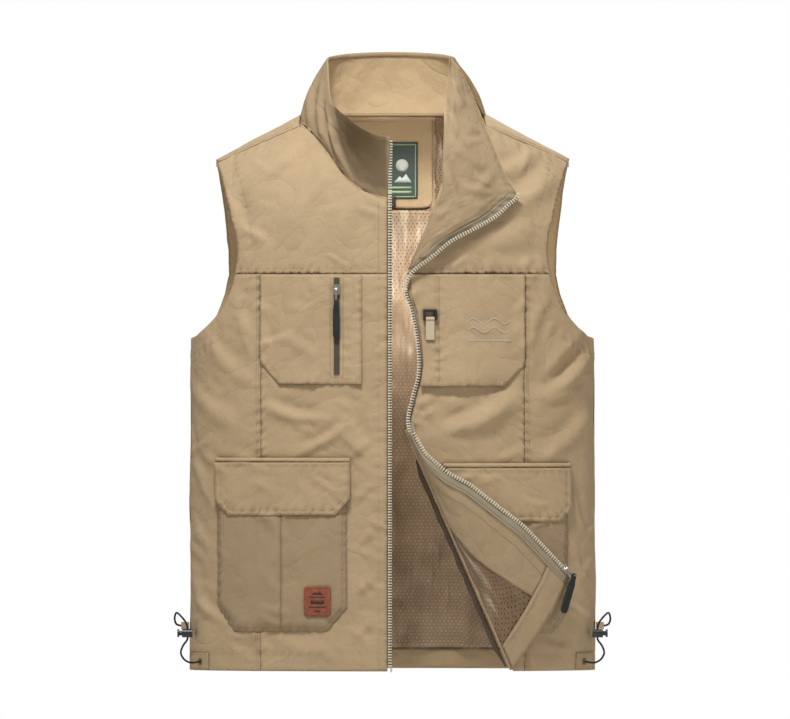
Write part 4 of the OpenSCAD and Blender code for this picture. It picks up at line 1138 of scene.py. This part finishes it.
# Shoulder seam allowances
for side, name in ((RIGHT, "right"), (LEFT, "left")):
    seam_x = np.linspace(114, 218.5, 50)
    seam_z = np.interp(seam_x, [115, 140, 165, 190, 217], [672.4, 661.8, 651, 640, 628.6])
    rows = [body(flat(sided(list(zip(seam_x, seam_z + dz)), side)), -0.4)[0] for dz in (-5, -2, 1, 3.2)]
    grid_mesh(name + "_shoulder_allowance", np.array(rows), *INSIDE, 0.4)

# ---------------------------------------------------------------- lapel
LAPEL = [
    [(70, -10, 758), (73.5, -8, 758)], [(69, -20, 745), (83, -12, 744)], [(67, -36, 727), (92, -18, 727)],
    [(65, -60, 704), (102, -27, 704)], [(63, -88, 671), (115, -53, 671)], [(62, -104, 644), (126, -76, 644)],
    [(61, -111, 609), (140, -88, 609)], [(61, -114, 594), (152, -91, 589)],
    [(57, -116, 580), (140, -97, 577)],
    [(50, -117, 567), (125, -103, 563)], [(42, -118, 550), (98, -112.5, 547.5)],
    [(34, -118, 532), (69, -117.5, 532)],
    [(26, -117, 514), (49, -119, 515)], [(19, -116, 496), (25, -118, 498)]]
LAPEL_OUT = np.array([0.25, -0.97, 0])
lapel_in = smooth_path([row[0] for row in LAPEL], 8)
lapel_edge = smooth_path([row[1] for row in LAPEL], 8)
COLS = 30


def lapel_points_at(s, lift):
    """One line down the lapel, s from the roll line to the outer edge, one value for each row."""
    s = np.clip(s, 0, 1.2)
    p = lapel_in * (1 - s[:, None]) + lapel_edge * s[:, None]
    z = p[:, 2]
    wide = np.linalg.norm(lapel_edge - lapel_in, axis=1)
    bulge = 6.0 * np.sin(math.pi * np.clip(s, 0, 1)) * smoothstep(wide, 5, 40) + 1.5 * np.exp(-(s * 9) ** 2)
    x = p[:, 0]
    folds = 0.0
    for x0, z0, x1, z1, width, high in (
            (70, 690, 108, 664, 5, 3.6), (72, 648, 122, 618, 6, 4.0), (66, 662, 96, 640, 6, 3.0),
            (80, 600, 126, 588, 5, 2.2), (74, 716, 90, 700, 4, 2.4), (88, 654, 112, 656, 4, 2.6),
            (50, 560, 70, 572, 5, 2.6), (96, 585, 128, 622, 6, 2.6), (62, 625, 84, 570, 6, 3.0),
            (68, 700, 80, 672, 4, 2.4), (100, 612, 134, 590, 4, 2.0), (70, 735, 84, 722, 4, 2.0)):
        d, along, signed = near(np.array([(x0, z0), (x1, z1)], float), np.c_[x, z])
        k = signed / width
        length = math.hypot(x1 - x0, z1 - z0)
        past = np.sqrt(np.maximum(d**2 - signed**2, 0))
        ends = np.sin(math.pi * np.clip(along / length, 0.03, 0.97)) * np.exp(-((past / width) ** 2))
        folds = folds + 1.6 * high * ends * (np.exp(-k * k) - 0.6 * np.exp(-((k - 1.4) ** 2)))
    folds = 6.5 * np.tanh(folds / 6.5)
    ripple = 1.4 * noise(x / 16, z / 16, 41) + 0.5 * noise(x / 6, z / 6, 42)
    edge_wave = (0.6 * np.sin(z * 2 * math.pi / 9 + 3 * noise(z / 20, z * 0, 43))
                 * np.exp(-(((1 - s) * 7) ** 2)))
    valley = -0.5 * np.exp(-(((1 - s) * 14 - 1.2) ** 2))
    amount = np.minimum(1, wide / 30)
    return p + LAPEL_OUT * (lift + bulge + amount * (folds + ripple + edge_wave + valley))[:, None]


def lapel_points(s, lift):
    return lapel_points_at(np.full(len(lapel_in), float(s)), lift)


def lapel_grid(lift):
    return np.array([lapel_points(s, lift) for s in np.linspace(0, 1, COLS + 1)]).transpose(1, 0, 2)


shell_side = lapel_grid(0.0)
obj = grid_mesh("lapel_shell_cloth", shell_side, *SHELL, 0.8, declare="folded")
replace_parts(obj, "lapel_shell")
facing_side = lapel_grid(1.6)
obj = grid_mesh("lapel_facing_cloth", facing_side, "vest", "shell_fabric", M["lapel"], 0.8, declare="folded")
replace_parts(obj, "lapel_facing")
lapel_n = np.tile(LAPEL_OUT, (len(facing_side), 1))
for s in (0.93, 0.965):
    line = lapel_points(s, 2.2)
    thread.run(line[8:52], lapel_n[8:52])
# seam round the outer edge, joining the two layers
edge_mid = (shell_side[:, -1] + facing_side[:, -1]) / 2
edge_across = unit(facing_side[:, -1] - facing_side[:, -2])
ribbon("lapel_edge_binding", *INSIDE, edge_mid[:58], edge_across[:58], lapel_n[:58],
       1.6, 2.4, -1.2, 0.15)

# ---------------------------------------------------------------- front zip, right half
zip_z = np.linspace(7, 583, 160)
right_line = flat(np.c_[np.full(160, -3.1), zip_z])
right_zip, right_up = body(right_line, 1.4 + 0.8 * relief(right_line))
obj = zip_teeth("right_zip_teeth_row", "vest", right_zip, right_up, flip=1)
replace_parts(obj, "right_zip_teeth")
sideways = np.tile([1.0, 0, 0], (160, 1))
obj = ribbon("right_zip_tape_band", *TAPE, right_zip - 1.4 * sideways, sideways, right_up,
             7.6, 0.6, -2.3)
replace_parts(obj, "right_zip_tape")
ribbon("right_zip_cord", *TAPE, right_zip - 1.2 * sideways, sideways, right_up, 1.4, 1.0, -0.9, 0.5)
top_line = smooth_path([(-3.1, -110.3, 583), (-3.0, -111, 600), (-2.6, -111.4, 625), (-2.2, -111.4, 654)], 8)
zip_teeth("right_zip_teeth_top", "vest", top_line, np.tile([0, -1.0, 0], (len(top_line), 1)), flip=1)

# ---------------------------------------------------------------- front zip, left half
LEFT_ZIP = [(155, 584, 17), (133, 562, 18.5), (107, 547, 19), (77, 531, 15), (52, 513, 12.5), (27, 497, 10),
            (17, 480, 6), (16, 466, 3.6), (23, 446, 3.0), (30.5, 409, 2.6), (32.5, 370, 2.6),
            (25.5, 341, 2.6),
            (19.5, 316, 3.2), (19.5, 304, 5.0), (21.5, 293, 9.0)]
knots = smooth_path(LEFT_ZIP, 8)
left_line, left_up = body(flat(knots[:, :2]), knots[:, 2])
# along the lapel the teeth follow the lapel's own edge
tip = np.argmax(lapel_edge[:, 0])
lower_edge = lapel_edge[tip:]
lower_edge = lower_edge + LAPEL_OUT * 1.2
edge_dir = unit(np.gradient(lower_edge, axis=0))
edge_side = unit(np.cross(np.tile(LAPEL_OUT, (len(lower_edge), 1)), edge_dir))
if edge_side[5][2] > 0:
    edge_side = -edge_side
lapel_zip = lower_edge + edge_side * 2.4 + LAPEL_OUT * 2.4
blend_to = np.vstack([lapel_zip, left_line[knots[:, 1] < 488]])
blend_up = np.vstack([np.tile(LAPEL_OUT, (len(lapel_zip), 1)), left_up[knots[:, 1] < 488]])
order = even_path(np.hstack([blend_to, blend_up]), 3.0)
left_path, left_path_up = order[:, :3], unit(order[:, 3:])
for _ in range(3):
    left_path[1:-1] = (left_path[:-2] + 2 * left_path[1:-1] + left_path[2:]) / 4
    left_path_up[1:-1] = unit(left_path_up[:-2] + 2 * left_path_up[1:-1] + left_path_up[2:])
obj = zip_teeth("left_zip_teeth_row", "vest", left_path, left_path_up, flip=-1, depth=2.6)
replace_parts(obj, "left_zip_teeth")


def lapel_strip(first, last, wide0, wide1, lift):
    """Rows of points on the lapel from first to last, between two distances in from its edge."""
    wide = np.maximum(np.linalg.norm(lapel_edge - lapel_in, axis=1), 1)
    rows = [lapel_points_at(1 - w / wide, lift) for w in np.linspace(wide0, wide1, 6)]
    return np.array(rows).transpose(1, 0, 2)[first:last]


lapel_stop = len(lapel_edge) - 6
obj = grid_mesh("left_zip_tape_band", lapel_strip(tip, lapel_stop, 11.5, -1.8, 2.9), *TAPE, 0.4)
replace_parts(obj, "left_zip_tape")
for off in (7.5, 13.5, 24.0):
    run = lapel_strip(tip + 2, lapel_stop - 6, off, off, 3.5 if off < 9 else 2.6)[:, 0]
    thread.run(run, np.tile(LAPEL_OUT, (len(run), 1)))
low_part = left_line[knots[:, 1] < 470]
low_up = left_up[knots[:, 1] < 470]
low_side = unit(np.cross(low_up, np.gradient(low_part, axis=0)))
if low_side[4][0] < 0:
    low_side = -low_side
ribbon("left_zip_tape_low", *TAPE, low_part + low_side * 3.4 - low_up * 1.2, low_side, low_up, 8.0, 0.5, -1.6)

# ---------------------------------------------------------------- chest pockets
CHEST_T = CLOTH + 1.4


def loose_bottom(low_z, rise=3.0, reach=26.0):
    """The free lower edge stands off the cloth under it."""
    def shape(sq):
        low = flat([(0, low_z)], FRONT)[0, 1]
        return rise * np.exp(-((np.abs(sq[:, 1] - low) / reach) ** 1.6))
    return shape


def both(*shapes):
    return lambda sq: sum(shape(sq) for shape in shapes)


def border_stitches(piece, outline, rows):
    """Closed rows of stitches, each a given distance in from the outline."""
    for by in rows:
        thread.on(piece, looped(inset(outline, by)))


def zip_dip(sq):
    """The loose lower edge, with the cloth held flat along the zip."""
    off = np.abs(sq[:, 0] - flat([(-69, 400)])[0, 0])
    return (loose_bottom(355, 3.4)(sq) * smoothstep(off, 13, 30)
            - (relief(sq) + 0.5) * (1 - smoothstep(off, 5, 15)))


chest_right = [(-162.5, YOKE_Z - 0.5), (-162.5, 381), (-140, 355), (-38, 354.5), (-38, YOKE_Z - 0.5)]
piece = Patch(chest_right, CHEST_T, FRONT, [
    (inset(chest_right, 2.2)[1:4], light_seam, 0.3), ([(-38.6, YOKE_Z), (-38.6, 356)], 0.3, 0.35),
    ([(-80, 486), (-80, 366), (-57, 366), (-57, 486)], 0.2, 0.25)],
    shape=both(raised_edge(lay(chest_right, closed=True), 1.6, 0.4), zip_dip))
obj = piece.build("right_chest_pocket_cloth", *SHELL, POCKET_STEP)
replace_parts(obj, "right_chest_pocket")
thread.on(piece, inset(chest_right, 2.0)[1:4])
thread.on(piece, [(-40, 357), (-40, YOKE_Z - 2)])
thread.on(piece, [(-76.5, 486), (-76.5, 362.5), (-60.5, 362.5), (-60.5, 486)])

chest_left = [(34, 352), (137, 352.5), (159, 374), (162.5, 380), (162.5, YOKE_Z - 0.5), (21, YOKE_Z - 0.5),
              (24, 462),
              (30, 446), (36, 409), (38, 378)]
piece = Patch(chest_left, CHEST_T, FRONT, [
    ([(55.5, YOKE_Z), (55.5, 352)], 0.8, 0.4), ([(36, 354.5), (137, 355), (158, 375.5)], light_seam, 0.3),
    ([(60, 470), (150, 470)], 0.15, 0.2)],
    shape=both(raised_edge(lay(chest_left, closed=True), 1.6, 0.4), loose_bottom(352, 4.2),
               lambda sq: 1.8 * smoothstep(np.abs(sq[:, 0] - flat([(108, 420)])[0, 0]), 52, 20)))
obj = piece.build("left_chest_pocket_cloth", *SHELL, POCKET_STEP,
                  lines=[lay([(55.5, YOKE_Z - 4), (55.5, 356)])])
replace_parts(obj, "left_chest_pocket")
left_chest = piece
thread.on(piece, [(37, 354.6), (136.5, 355), (160.4, 378)])
thread.on(piece, [(57.5, YOKE_Z - 3), (57.5, 357)])

# ---------------------------------------------------------------- cargo pockets
POUCH_T = 2.0
POUCH_RISE = 5.2
FLAP_T = 8.4


def pouch_shape(outline, pleat_x=None):
    border = lay(outline + outline[:1])

    def shape(sq):
        out = POUCH_RISE * smoothstep(near(border, sq)[0], -1, 11)
        if pleat_x is not None:
            d = sq[:, 0] - flat([(pleat_x, 120)])[0, 0]
            out = out + 0.9 * np.exp(-(((d - 2.6) / 2.4) ** 2)) - 2.2 * np.exp(-((d / 1.1) ** 2))
        return out + 0.8 * noise(sq[:, 0] / 30, sq[:, 1] / 45, 51)
    return shape


def cargo(name, outline, pleat_x, seams=()):
    pleats = [lay([(pleat_x + d, 186), (pleat_x + d, 60)]) for d in (-1.1, 0, 1.1)] if pleat_x else []
    piece = Patch(outline, POUCH_T, FRONT, [(inset(outline, 2.4), light_seam, 0.35)],
                  shape=pouch_shape(outline, pleat_x))
    obj = piece.build(name + "_cloth", "vest", "shell_fabric", M["pouch"], 3.2, lines=pleats)
    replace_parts(obj, name)
    border_stitches(piece, outline, (1.8, 5.4))


right_pouch_outline = [(-216, 240), (-216, 80), (-194, 48.4), (-81, 48.4), (-56, 78), (-56, 240)]
cargo("right_cargo_pocket", right_pouch_outline, -136.5)
left_pouch_outline = [(64, 236), (84, 190), (166, 46), (196, 46), (207, 59), (216, 74), (216, 236)]
cargo("left_cargo_pocket", left_pouch_outline, None)


def flap(name, body_name, outline):
    border = lay(outline + outline[:1])

    def shape(sq):
        near_edge = near(border, sq)[0]
        return 0.5 * np.exp(-((near_edge / 1.8) ** 2)) + 0.7 * noise(sq[:, 0] / 34, sq[:, 1] / 26, 61)
    stitch = inset(outline, 5.6)
    piece = Patch(outline, FLAP_T, FRONT, [(looped(stitch), light_seam, 0.4)], shape=shape)
    obj = piece.build(name + "_cloth", body_name, "shell_fabric", M["shell"], 3.0, 1.4)
    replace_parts(obj, name)
    return piece


flap_thread = Thread()
right_flap_outline = [(-215.5, 257.6), (-215.5, 210), (-199, 192.4), (-69.5, 193), (-52, 213), (-52, 257.6)]
right_flap = flap("right_cargo_flap", "cargo_flap", right_flap_outline)
for by in (1.8, 6.4):
    line = inset(right_flap_outline, by)
    flap_thread.on(right_flap, line[1:5] if by > 2 else line[:])
flap_thread.build("flap_stitching", "cargo_flap")
left_flap_outline = [(66, 250.5), (66, 238), (86, 186), (202, 184.5), (216.7, 200.6), (216.7, 250.5)]
left_flap = flap("left_cargo_flap", "vest", left_flap_outline)
for by in (1.8, 6.4):
    thread.on(left_flap, inset(left_flap_outline, by)[2:6])


def welt(name, x0, x1, z):
    """A corded fold where a flap is sewn on."""
    n = 60
    line = flat(np.c_[np.linspace(x0, x1, n), np.full(n, z)])
    pts, up = body(line, 1.6 + relief(line) + 0.15 * noise(line[:, 0] / 8, line[:, 1], 71))
    down = np.tile([0, 0, 1.0], (n, 1))
    return ribbon(name, *SHELL, pts, down, up, 6.0, 4.6, 0.0, 0.35)


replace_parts(welt("right_cargo_welt_fold", -215.5, -52, 260.4), "right_cargo_welt")
welt("left_cargo_welt_fold", 62, 216.7, 253.8)

# ---------------------------------------------------------------- turned-back corner
CORNER_EDGE = [(0, 23.5, 292, 8), (0.15, 37.5, 267, 12), (0.3, 64, 243, 15), (0.45, 90, 229, 16),
               (0.6, 113, 210, 16), (0.75, 154, 177, 16), (1, 208, 115, 16)]
corner_at = np.array([e[0] for e in CORNER_EDGE])
corner_xyz = body(flat([(e[1], e[2]) for e in CORNER_EDGE]), [e[3] for e in CORNER_EDGE])[0]
fold_ab = body(flat([FOLD_TOP, FOLD_LOW]), [4.0, 4.0])[0]
CORNER_ROWS, CORNER_COLS = 72, 34


def corner_edge(a):
    return np.stack([np.interp(a, corner_at, corner_xyz[:, k]) for k in range(3)], axis=-1)


def fold_point(a):
    """Where a share of the way down the fold line is."""
    return fold_ab[0] * (1 - a) + fold_ab[1] * a


def corner_out(x):
    return body(flat([(float(np.clip(x, -249, 249)), 200)]), [0])[1][0]


def corner_point(a, s, t=0.0):
    fold = fold_point(a)
    p = fold * (1 - s) + corner_edge(a) * s
    out = corner_out(p[0])
    bulge = (5 + 6 * a) * math.sin(math.pi * s)
    wave = (0.9 * noise(p[0] / 30, p[2] / 30, 81) + 0.5 * noise(p[0] / 11, p[2] / 11, 82)) * min(1, 6 * s)
    return p + out * (t + bulge + float(wave)), out


HEM_SHARE = 0.912


def mesh_share(a):
    return float(np.interp(a, [0.41, HEM_SHARE], [0.01, 0.575]))


def corner_sheet(name, node, a0, a1, low, high, t, slot_name, material, wave=0.0, seed=90, rows=CORNER_ROWS):
    n = max(6, int(rows * (a1 - a0)))
    grid, outs = [], []
    for a in np.linspace(a0, a1, n):
        row = []
        for s in np.linspace(low(a), high(a), CORNER_COLS):
            p, out = corner_point(a, s, t)
            extra = wave * float(noise(p[0] / 12, p[2] / 20, seed))
            row.append(p + out * extra)
        grid.append(row)
    obj = grid_mesh(name, grid, "corner", slot_name, material, 0.8, declare="folded")
    if node:
        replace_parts(obj, node)
    return np.array(grid)


corner_sheet("corner_shell_cloth", "corner_shell", 0.0, 1.0, lambda a: 0.01, lambda a: 1.0, 0.3,
             "shell_fabric", M["shell"])
corner_sheet("corner_facing_cloth", "corner_facing", 0.0, HEM_SHARE - 0.006,
             lambda a: 0.006 if a < 0.42 else mesh_share(a), lambda a: 1.0, 2.3, "shell_fabric", M["corner"],
             0.5)
corner_sheet("corner_mesh_cloth", "corner_mesh", 0.41, HEM_SHARE, lambda a: 0.006,
             lambda a: mesh_share(a) + 0.01, 1.6,
             "mesh_lining", M["mesh_corner"], 1.4)
corner_sheet("corner_hem_cloth", "corner_hem", HEM_SHARE - 0.012, 1.0, lambda a: 0.004, lambda a: 1.0, 3.0,
             "shell_fabric",
             M["corner"], 0.3)


def tape_width(a, wide):
    """Share of a corner row that a width in mm takes up, in from the zip edge."""
    fold = fold_point(a)
    return min(0.9, wide / np.linalg.norm(corner_edge(a) - fold))


corner_thread = Thread()
corner_sheet("corner_zip_tape", None, 0.0, 0.99, lambda a: 1 - tape_width(a, 11.5),
             lambda a: 1 + tape_width(a, 1.6), 3.3,
             "zip_tape", M["tape"])
steps_a = np.linspace(0.0, 0.985, 140)
zip_line = corner_edge(steps_a)
zip_outs = np.array([corner_out(p[0]) for p in zip_line])
for _ in range(4):
    zip_line[1:-1] = (zip_line[:-2] + 2 * zip_line[1:-1] + zip_line[2:]) / 4
zip_dir = unit(np.gradient(zip_line, axis=0))
zip_off = unit(np.cross(zip_outs, zip_dir))
if zip_off[60][2] < 0:
    zip_off = -zip_off
obj = zip_teeth("corner_zip_teeth_row", "corner", zip_line + zip_off * 2.6 + zip_outs * 3.9, zip_outs,
                flip=1, depth=2.6)
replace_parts(obj, "corner_zip_teeth")


def corner_stitch(a_list, s_func, lift):
    pairs = [corner_point(a, s_func(a), lift) for a in a_list]
    corner_thread.run(np.array([p for p, _ in pairs]), np.array([o for _, o in pairs]))


corner_stitch(np.linspace(0.06, 0.975, 120), lambda a: 1 - tape_width(a, 7.5), 4.0)
corner_stitch(np.linspace(0.08, 0.90, 110), lambda a: 1 - tape_width(a, 14.0), 3.2)
corner_stitch(np.linspace(0.16, 0.90, 110), lambda a: 1 - tape_width(a, 25.0), 3.2)
corner_stitch(np.linspace(0.44, HEM_SHARE - 0.02, 60), lambda a: mesh_share(a) + 0.012, 3.2)
hem_pairs = [corner_point(HEM_SHARE + 0.004, s, 3.9) for s in np.linspace(0.03, 0.9, 60)]
corner_thread.run(np.array([p for p, _ in hem_pairs]), np.array([o for _, o in hem_pairs]))
corner_thread.build("corner_stitching", "corner")

# Rolled cloth along the fold, joining the front panel to the corner
fold_rows = []
for a in np.linspace(0.0, 1.0, 60):
    p = fold_point(a)
    out = corner_out(p[0])
    sideways_x = unit(np.cross(out, fold_ab[1] - fold_ab[0]))
    if sideways_x[0] < 0:
        sideways_x = -sideways_x
    under = body(flat([(p[0] + 5, p[2])]), [CLOTH])[0][0]
    over = corner_point(a, 0.012, 0.6)[0]
    centre = p - out * 1.4
    depth = 2.3
    ring = [under]
    for k in range(9):
        turn = math.radians(-80 + 20 * k)
        ring.append(centre + out * depth * math.sin(turn) - sideways_x * depth * 0.7 * math.cos(turn))
    ring.append(over)
    fold_rows.append(ring)
# The left front lining's edge just past the fold, coloured near black as painted shade.
puff_rows = []
for a in np.linspace(0.12, 0.985, 66):
    p = fold_point(a)
    out = corner_out(p[0])
    left = -unit(np.cross(out, fold_ab[1] - fold_ab[0]))
    if left[0] > 0:
        left = -left
    wide = 5.2 * min(1, 9 * (1 - a), 12 * (a - 0.1)) + 0.8 * float(noise(p[2] / 14, 0.4, 95))
    puff_rows.append([p + left * (2.6 + wide * across) - out * (6.8 + drop_by)
                      for across, drop_by in ((0, 0), (0.4, 1.4), (0.8, 3.2), (1, 4.8), (0.9, 6.4),
                                              (0.5, 7.6))])
grid_mesh("front_lining_edge", puff_rows, "vest", "mesh_lining", M["mesh_painted_shade"], 0.5)
roll = grid_mesh("corner_fold_roll", fold_rows, None, "shell_fabric", M["shell"], 0.9)
mid_fold = (fold_ab[0] + fold_ab[1]) / 2
mid_out = corner_out(mid_fold[0])
tuple(to_frame(mid_fold - mid_out * 3.0))
tuple(to_frame(mid_fold + mid_out * 3.0))
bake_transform(roll)

# ---------------------------------------------------------------- label, tag, patches
def flat_piece(name, outline, t, side, slot_name, material, step=3.0, thickness=0.6, body_name="vest",
               wrinkle=1.0):
    piece = Patch(outline, t, side, wrinkle=wrinkle)
    return piece.build(name, body_name, slot_name, material, step, thickness, declare=False), piece


def box_outline(x0, x1, z0, z1):
    return [(x0, z0), (x1, z0), (x1, z1), (x0, z1)]


label_obj, label = flat_piece("neck_label_cloth", box_outline(-31.5, 31.5, 585, 657), -2.2, BACK,
                              "label_green", M["label"], wrinkle=0.5)
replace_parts(label_obj, "neck_label")
lines = [box_outline(-29.5, 29.5, 587, 588.2), box_outline(-29.5, 29.5, 653.8, 655),
         box_outline(28.2, 29.4, 588, 654),
         box_outline(-29.4, -28.2, 588, 654), box_outline(-24, 24, 592, 595),
         box_outline(-24, 24, 598, 600.5)]
for n, outline in enumerate(lines):
    flat_piece(f"label_line_{n}", outline, -2.95, BACK, "label_green", M["label_line"], 4.0, 0.25,
               wrinkle=0.5)
ring = [(8 * math.cos(a) + 12, 628 + 8 * math.sin(a)) for a in np.linspace(0, 2 * math.pi, 20)[:-1]]
flat_piece("label_disc", ring, -2.95, BACK, "label_green", M["label_white"], 4.0, 0.25, wrinkle=0.5)
hill = [(2, 606), (9, 614), (12, 611), (17, 617), (24, 606)]
flat_piece("label_zigzag", hill, -2.95, BACK, "label_green", M["label_white"], 4.0, 0.25, wrinkle=0.5)
tag_obj, _ = flat_piece("size_tag_cloth", box_outline(-3, 4, 574, 588), -3.6, BACK, "tag_black", M["tag"],
                        3.0, 0.6, wrinkle=0.5)
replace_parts(tag_obj, "size_tag")


def rounded_box(cx, cz, w, h, r, n=5):
    out = []
    for qx, qz, start in ((1, 1, 0), (-1, 1, 90), (-1, -1, 180), (1, -1, 270)):
        for a in np.linspace(start, start + 90, n):
            out.append((cx + qx * (w / 2 - r) + r * math.cos(math.radians(a)),
                        cz + qz * (h / 2 - r) + r * math.sin(math.radians(a))))
    return out


PATCH_T = POUCH_T + POUCH_RISE + 1.0
patch_outline = rounded_box(-91, 86.5, 32, 37, 4)
leather = Patch(patch_outline, PATCH_T + 0.6, FRONT, [(inset(patch_outline, 3), 0.35, 0)],
                shape=lambda sq: 0.8 * noise(sq[:, 0] / 30, sq[:, 1] / 45, 51))
obj = leather.build("leather_patch_hide", "vest", "leather", M["leather"], 1.6, 1.5, declare=False)
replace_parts(obj, "leather_patch")
thread.on(leather, np.vstack([inset(patch_outline, 1.8), inset(patch_outline, 1.8)[:1]]), pitch=2.6)
emboss = [box_outline(-101, -81, 78.5, 80.3), box_outline(-101, -81, 91, 92.4),
          [(-98, 94.5), (-93.5, 98.5), (-91.5, 96.8), (-88.5, 99), (-84, 94.5)],
          box_outline(-99, -83, 83, 88), box_outline(-95, -87, 73.5, 75)]
for n, outline in enumerate(emboss):
    mark = Patch(outline, PATCH_T + 0.72, FRONT, shape=leather.shape)
    mark.build(f"leather_mark_{n}", "vest", "leather", M["leather_dark"], 2.5, 0.3, declare=False)

# Generic raised embroidery: two waves over a bar, made of satin stitches
badge_pts, badge_faces, count = [], [], 0
for row_z, swing, height in ((432, 3.2, 3.0), (421, 3.2, 3.0), (408, 0.0, 3.4)):
    xs = np.arange(92, 145, 0.85)
    line = np.c_[xs, row_z + swing * np.sin((xs - 92) * 2 * math.pi / 26)]
    sq = flat(line)
    p, nrm = left_chest.points(sq, 0.25)
    satin = STITCH * np.array([height / 2.5, 1.5, 1.6])
    pp, ff = placed(satin, STITCH_FACES, p, np.tile([0.12, 0, 1.0], (len(p), 1)), nrm)
    badge_pts.append(pp)
    badge_faces += [tuple(count + v for v in f) for f in ff]
    count += len(pp)
obj = make_mesh("chest_badge_stitches", np.vstack(badge_pts), badge_faces, "vest", "thread", M["embroidery"])
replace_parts(obj, "chest_badge")

# Hem patches
for side, name in ((RIGHT, "right"), (LEFT, "left")):
    outline = sided(box_outline(226, 249, 0.5, 22), side)
    obj, piece = flat_piece(name + "_hem_patch_cloth", outline, 2.2, FRONT, "shell_fabric", M["facing"], 3.0,
                            0.9)
    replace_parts(obj, name + "_hem_patch")
    thread.on(piece, np.vstack([inset(outline, 1.6), inset(outline, 1.6)[:1]]))
    hole_at, hole_n = piece.points(flat(sided([(236, 11)], side)), 0.2)
    u = unit(np.cross(hole_n[0], [0, 0, 1.0]))
    v = np.cross(u, hole_n[0])
    ring_pts = []
    for a in np.linspace(0, 2 * math.pi, 29)[:-1]:
        ring_pts.append(hole_at[0] + 3.2 * (math.cos(a) * u + math.sin(a) * v))
    ring_pts = np.array(ring_pts)
    radial = unit(ring_pts - hole_at[0])
    pp, ff = placed(STITCH * np.array([0.9, 2.0, 1.8]), STITCH_FACES, ring_pts, radial,
                    np.tile(hole_n[0], (28, 1)))
    make_mesh(name + "_eyelet_stitches", pp, ff, "vest", "thread", M["thread"])

thread.build("shell_stitching", "vest")

# ---------------------------------------------------------------- hardware
def ribbed_grip(node, body_name, hung_from):
    """A moulded grip inside its CAD plate: a narrow neck, rounded sides and ribs across."""
    solid = bpy.data.objects[node]
    pts = np.array([solid.matrix_world @ v.co for v in solid.data.vertices])
    axes = np.linalg.svd(pts - pts.mean(axis=0), full_matrices=False)[2]
    spans = (pts - pts.mean(axis=0)) @ axes.T
    centre = pts.mean(axis=0) + ((spans.max(axis=0) + spans.min(axis=0)) / 2) @ axes
    half = (spans.max(axis=0) - spans.min(axis=0)) / 2
    if (np.array(hung_from) - centre) @ axes[0] > 0:
        axes[0] = -axes[0]
    rings, turn = [], np.linspace(0, 2 * math.pi, 29)
    for u in np.linspace(-1, 1, 91):
        end = math.sqrt(max(0.0, 1 - abs(u) ** 14))
        wide = half[1] * (0.64 + 0.26 * smoothstep(u, -0.72, -0.4)) * end
        ribs = (0.13 * math.sin(u * 2 * math.pi * 8)
                * smoothstep(u, -0.45, -0.35) * (1 - smoothstep(u, 0.6, 0.7)))
        thick = half[2] * (0.84 + ribs) * end
        cos, sin = np.cos(turn), np.sin(turn)
        side, front = np.sign(cos) * np.abs(cos) ** 0.55, np.sign(sin) * np.abs(sin) ** 0.55
        rings.append(centre + axes[0] * half[0] * u
                     + np.outer(side * wide, axes[1]) + np.outer(front * thick, axes[2]))
    rings = np.array(rings)
    faces = [(i * 29 + j, i * 29 + j + 1, (i + 1) * 29 + j + 1, (i + 1) * 29 + j)
             for i in range(90) for j in range(28)]
    obj = make_mesh(node + "_moulding", rings.reshape(-1, 3), faces, body_name, "rubber_black", M["rubber"],
                    metres=True)
    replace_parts(obj, node)


ribbed_grip("main_pull_grip", "main_grip", (0.2235, -0.0827, -0.5682))
ribbed_grip("chest_pull_grip", "chest_pull", (-0.0695, -0.1156, -0.215))
NODE_LOOKS = {
    "metal": ["chest_slider", "chest_pull_link", "main_slider", "main_pull_link"],
    "plastic": ["tool_ring", "right_lock_body", "right_lock_button", "left_lock_body", "left_lock_button"],
    "webbing": ["tool_tab"], "facing": ["right_cord_tab", "left_cord_tab"],
    "teeth": ["zip_pin"], "coil": ["chest_zip_coil"]}
for look, nodes in NODE_LOOKS.items():
    for node in nodes:
        obj = bpy.data.objects[node]
        for holder in obj.material_slots:
            holder.material = M[look]
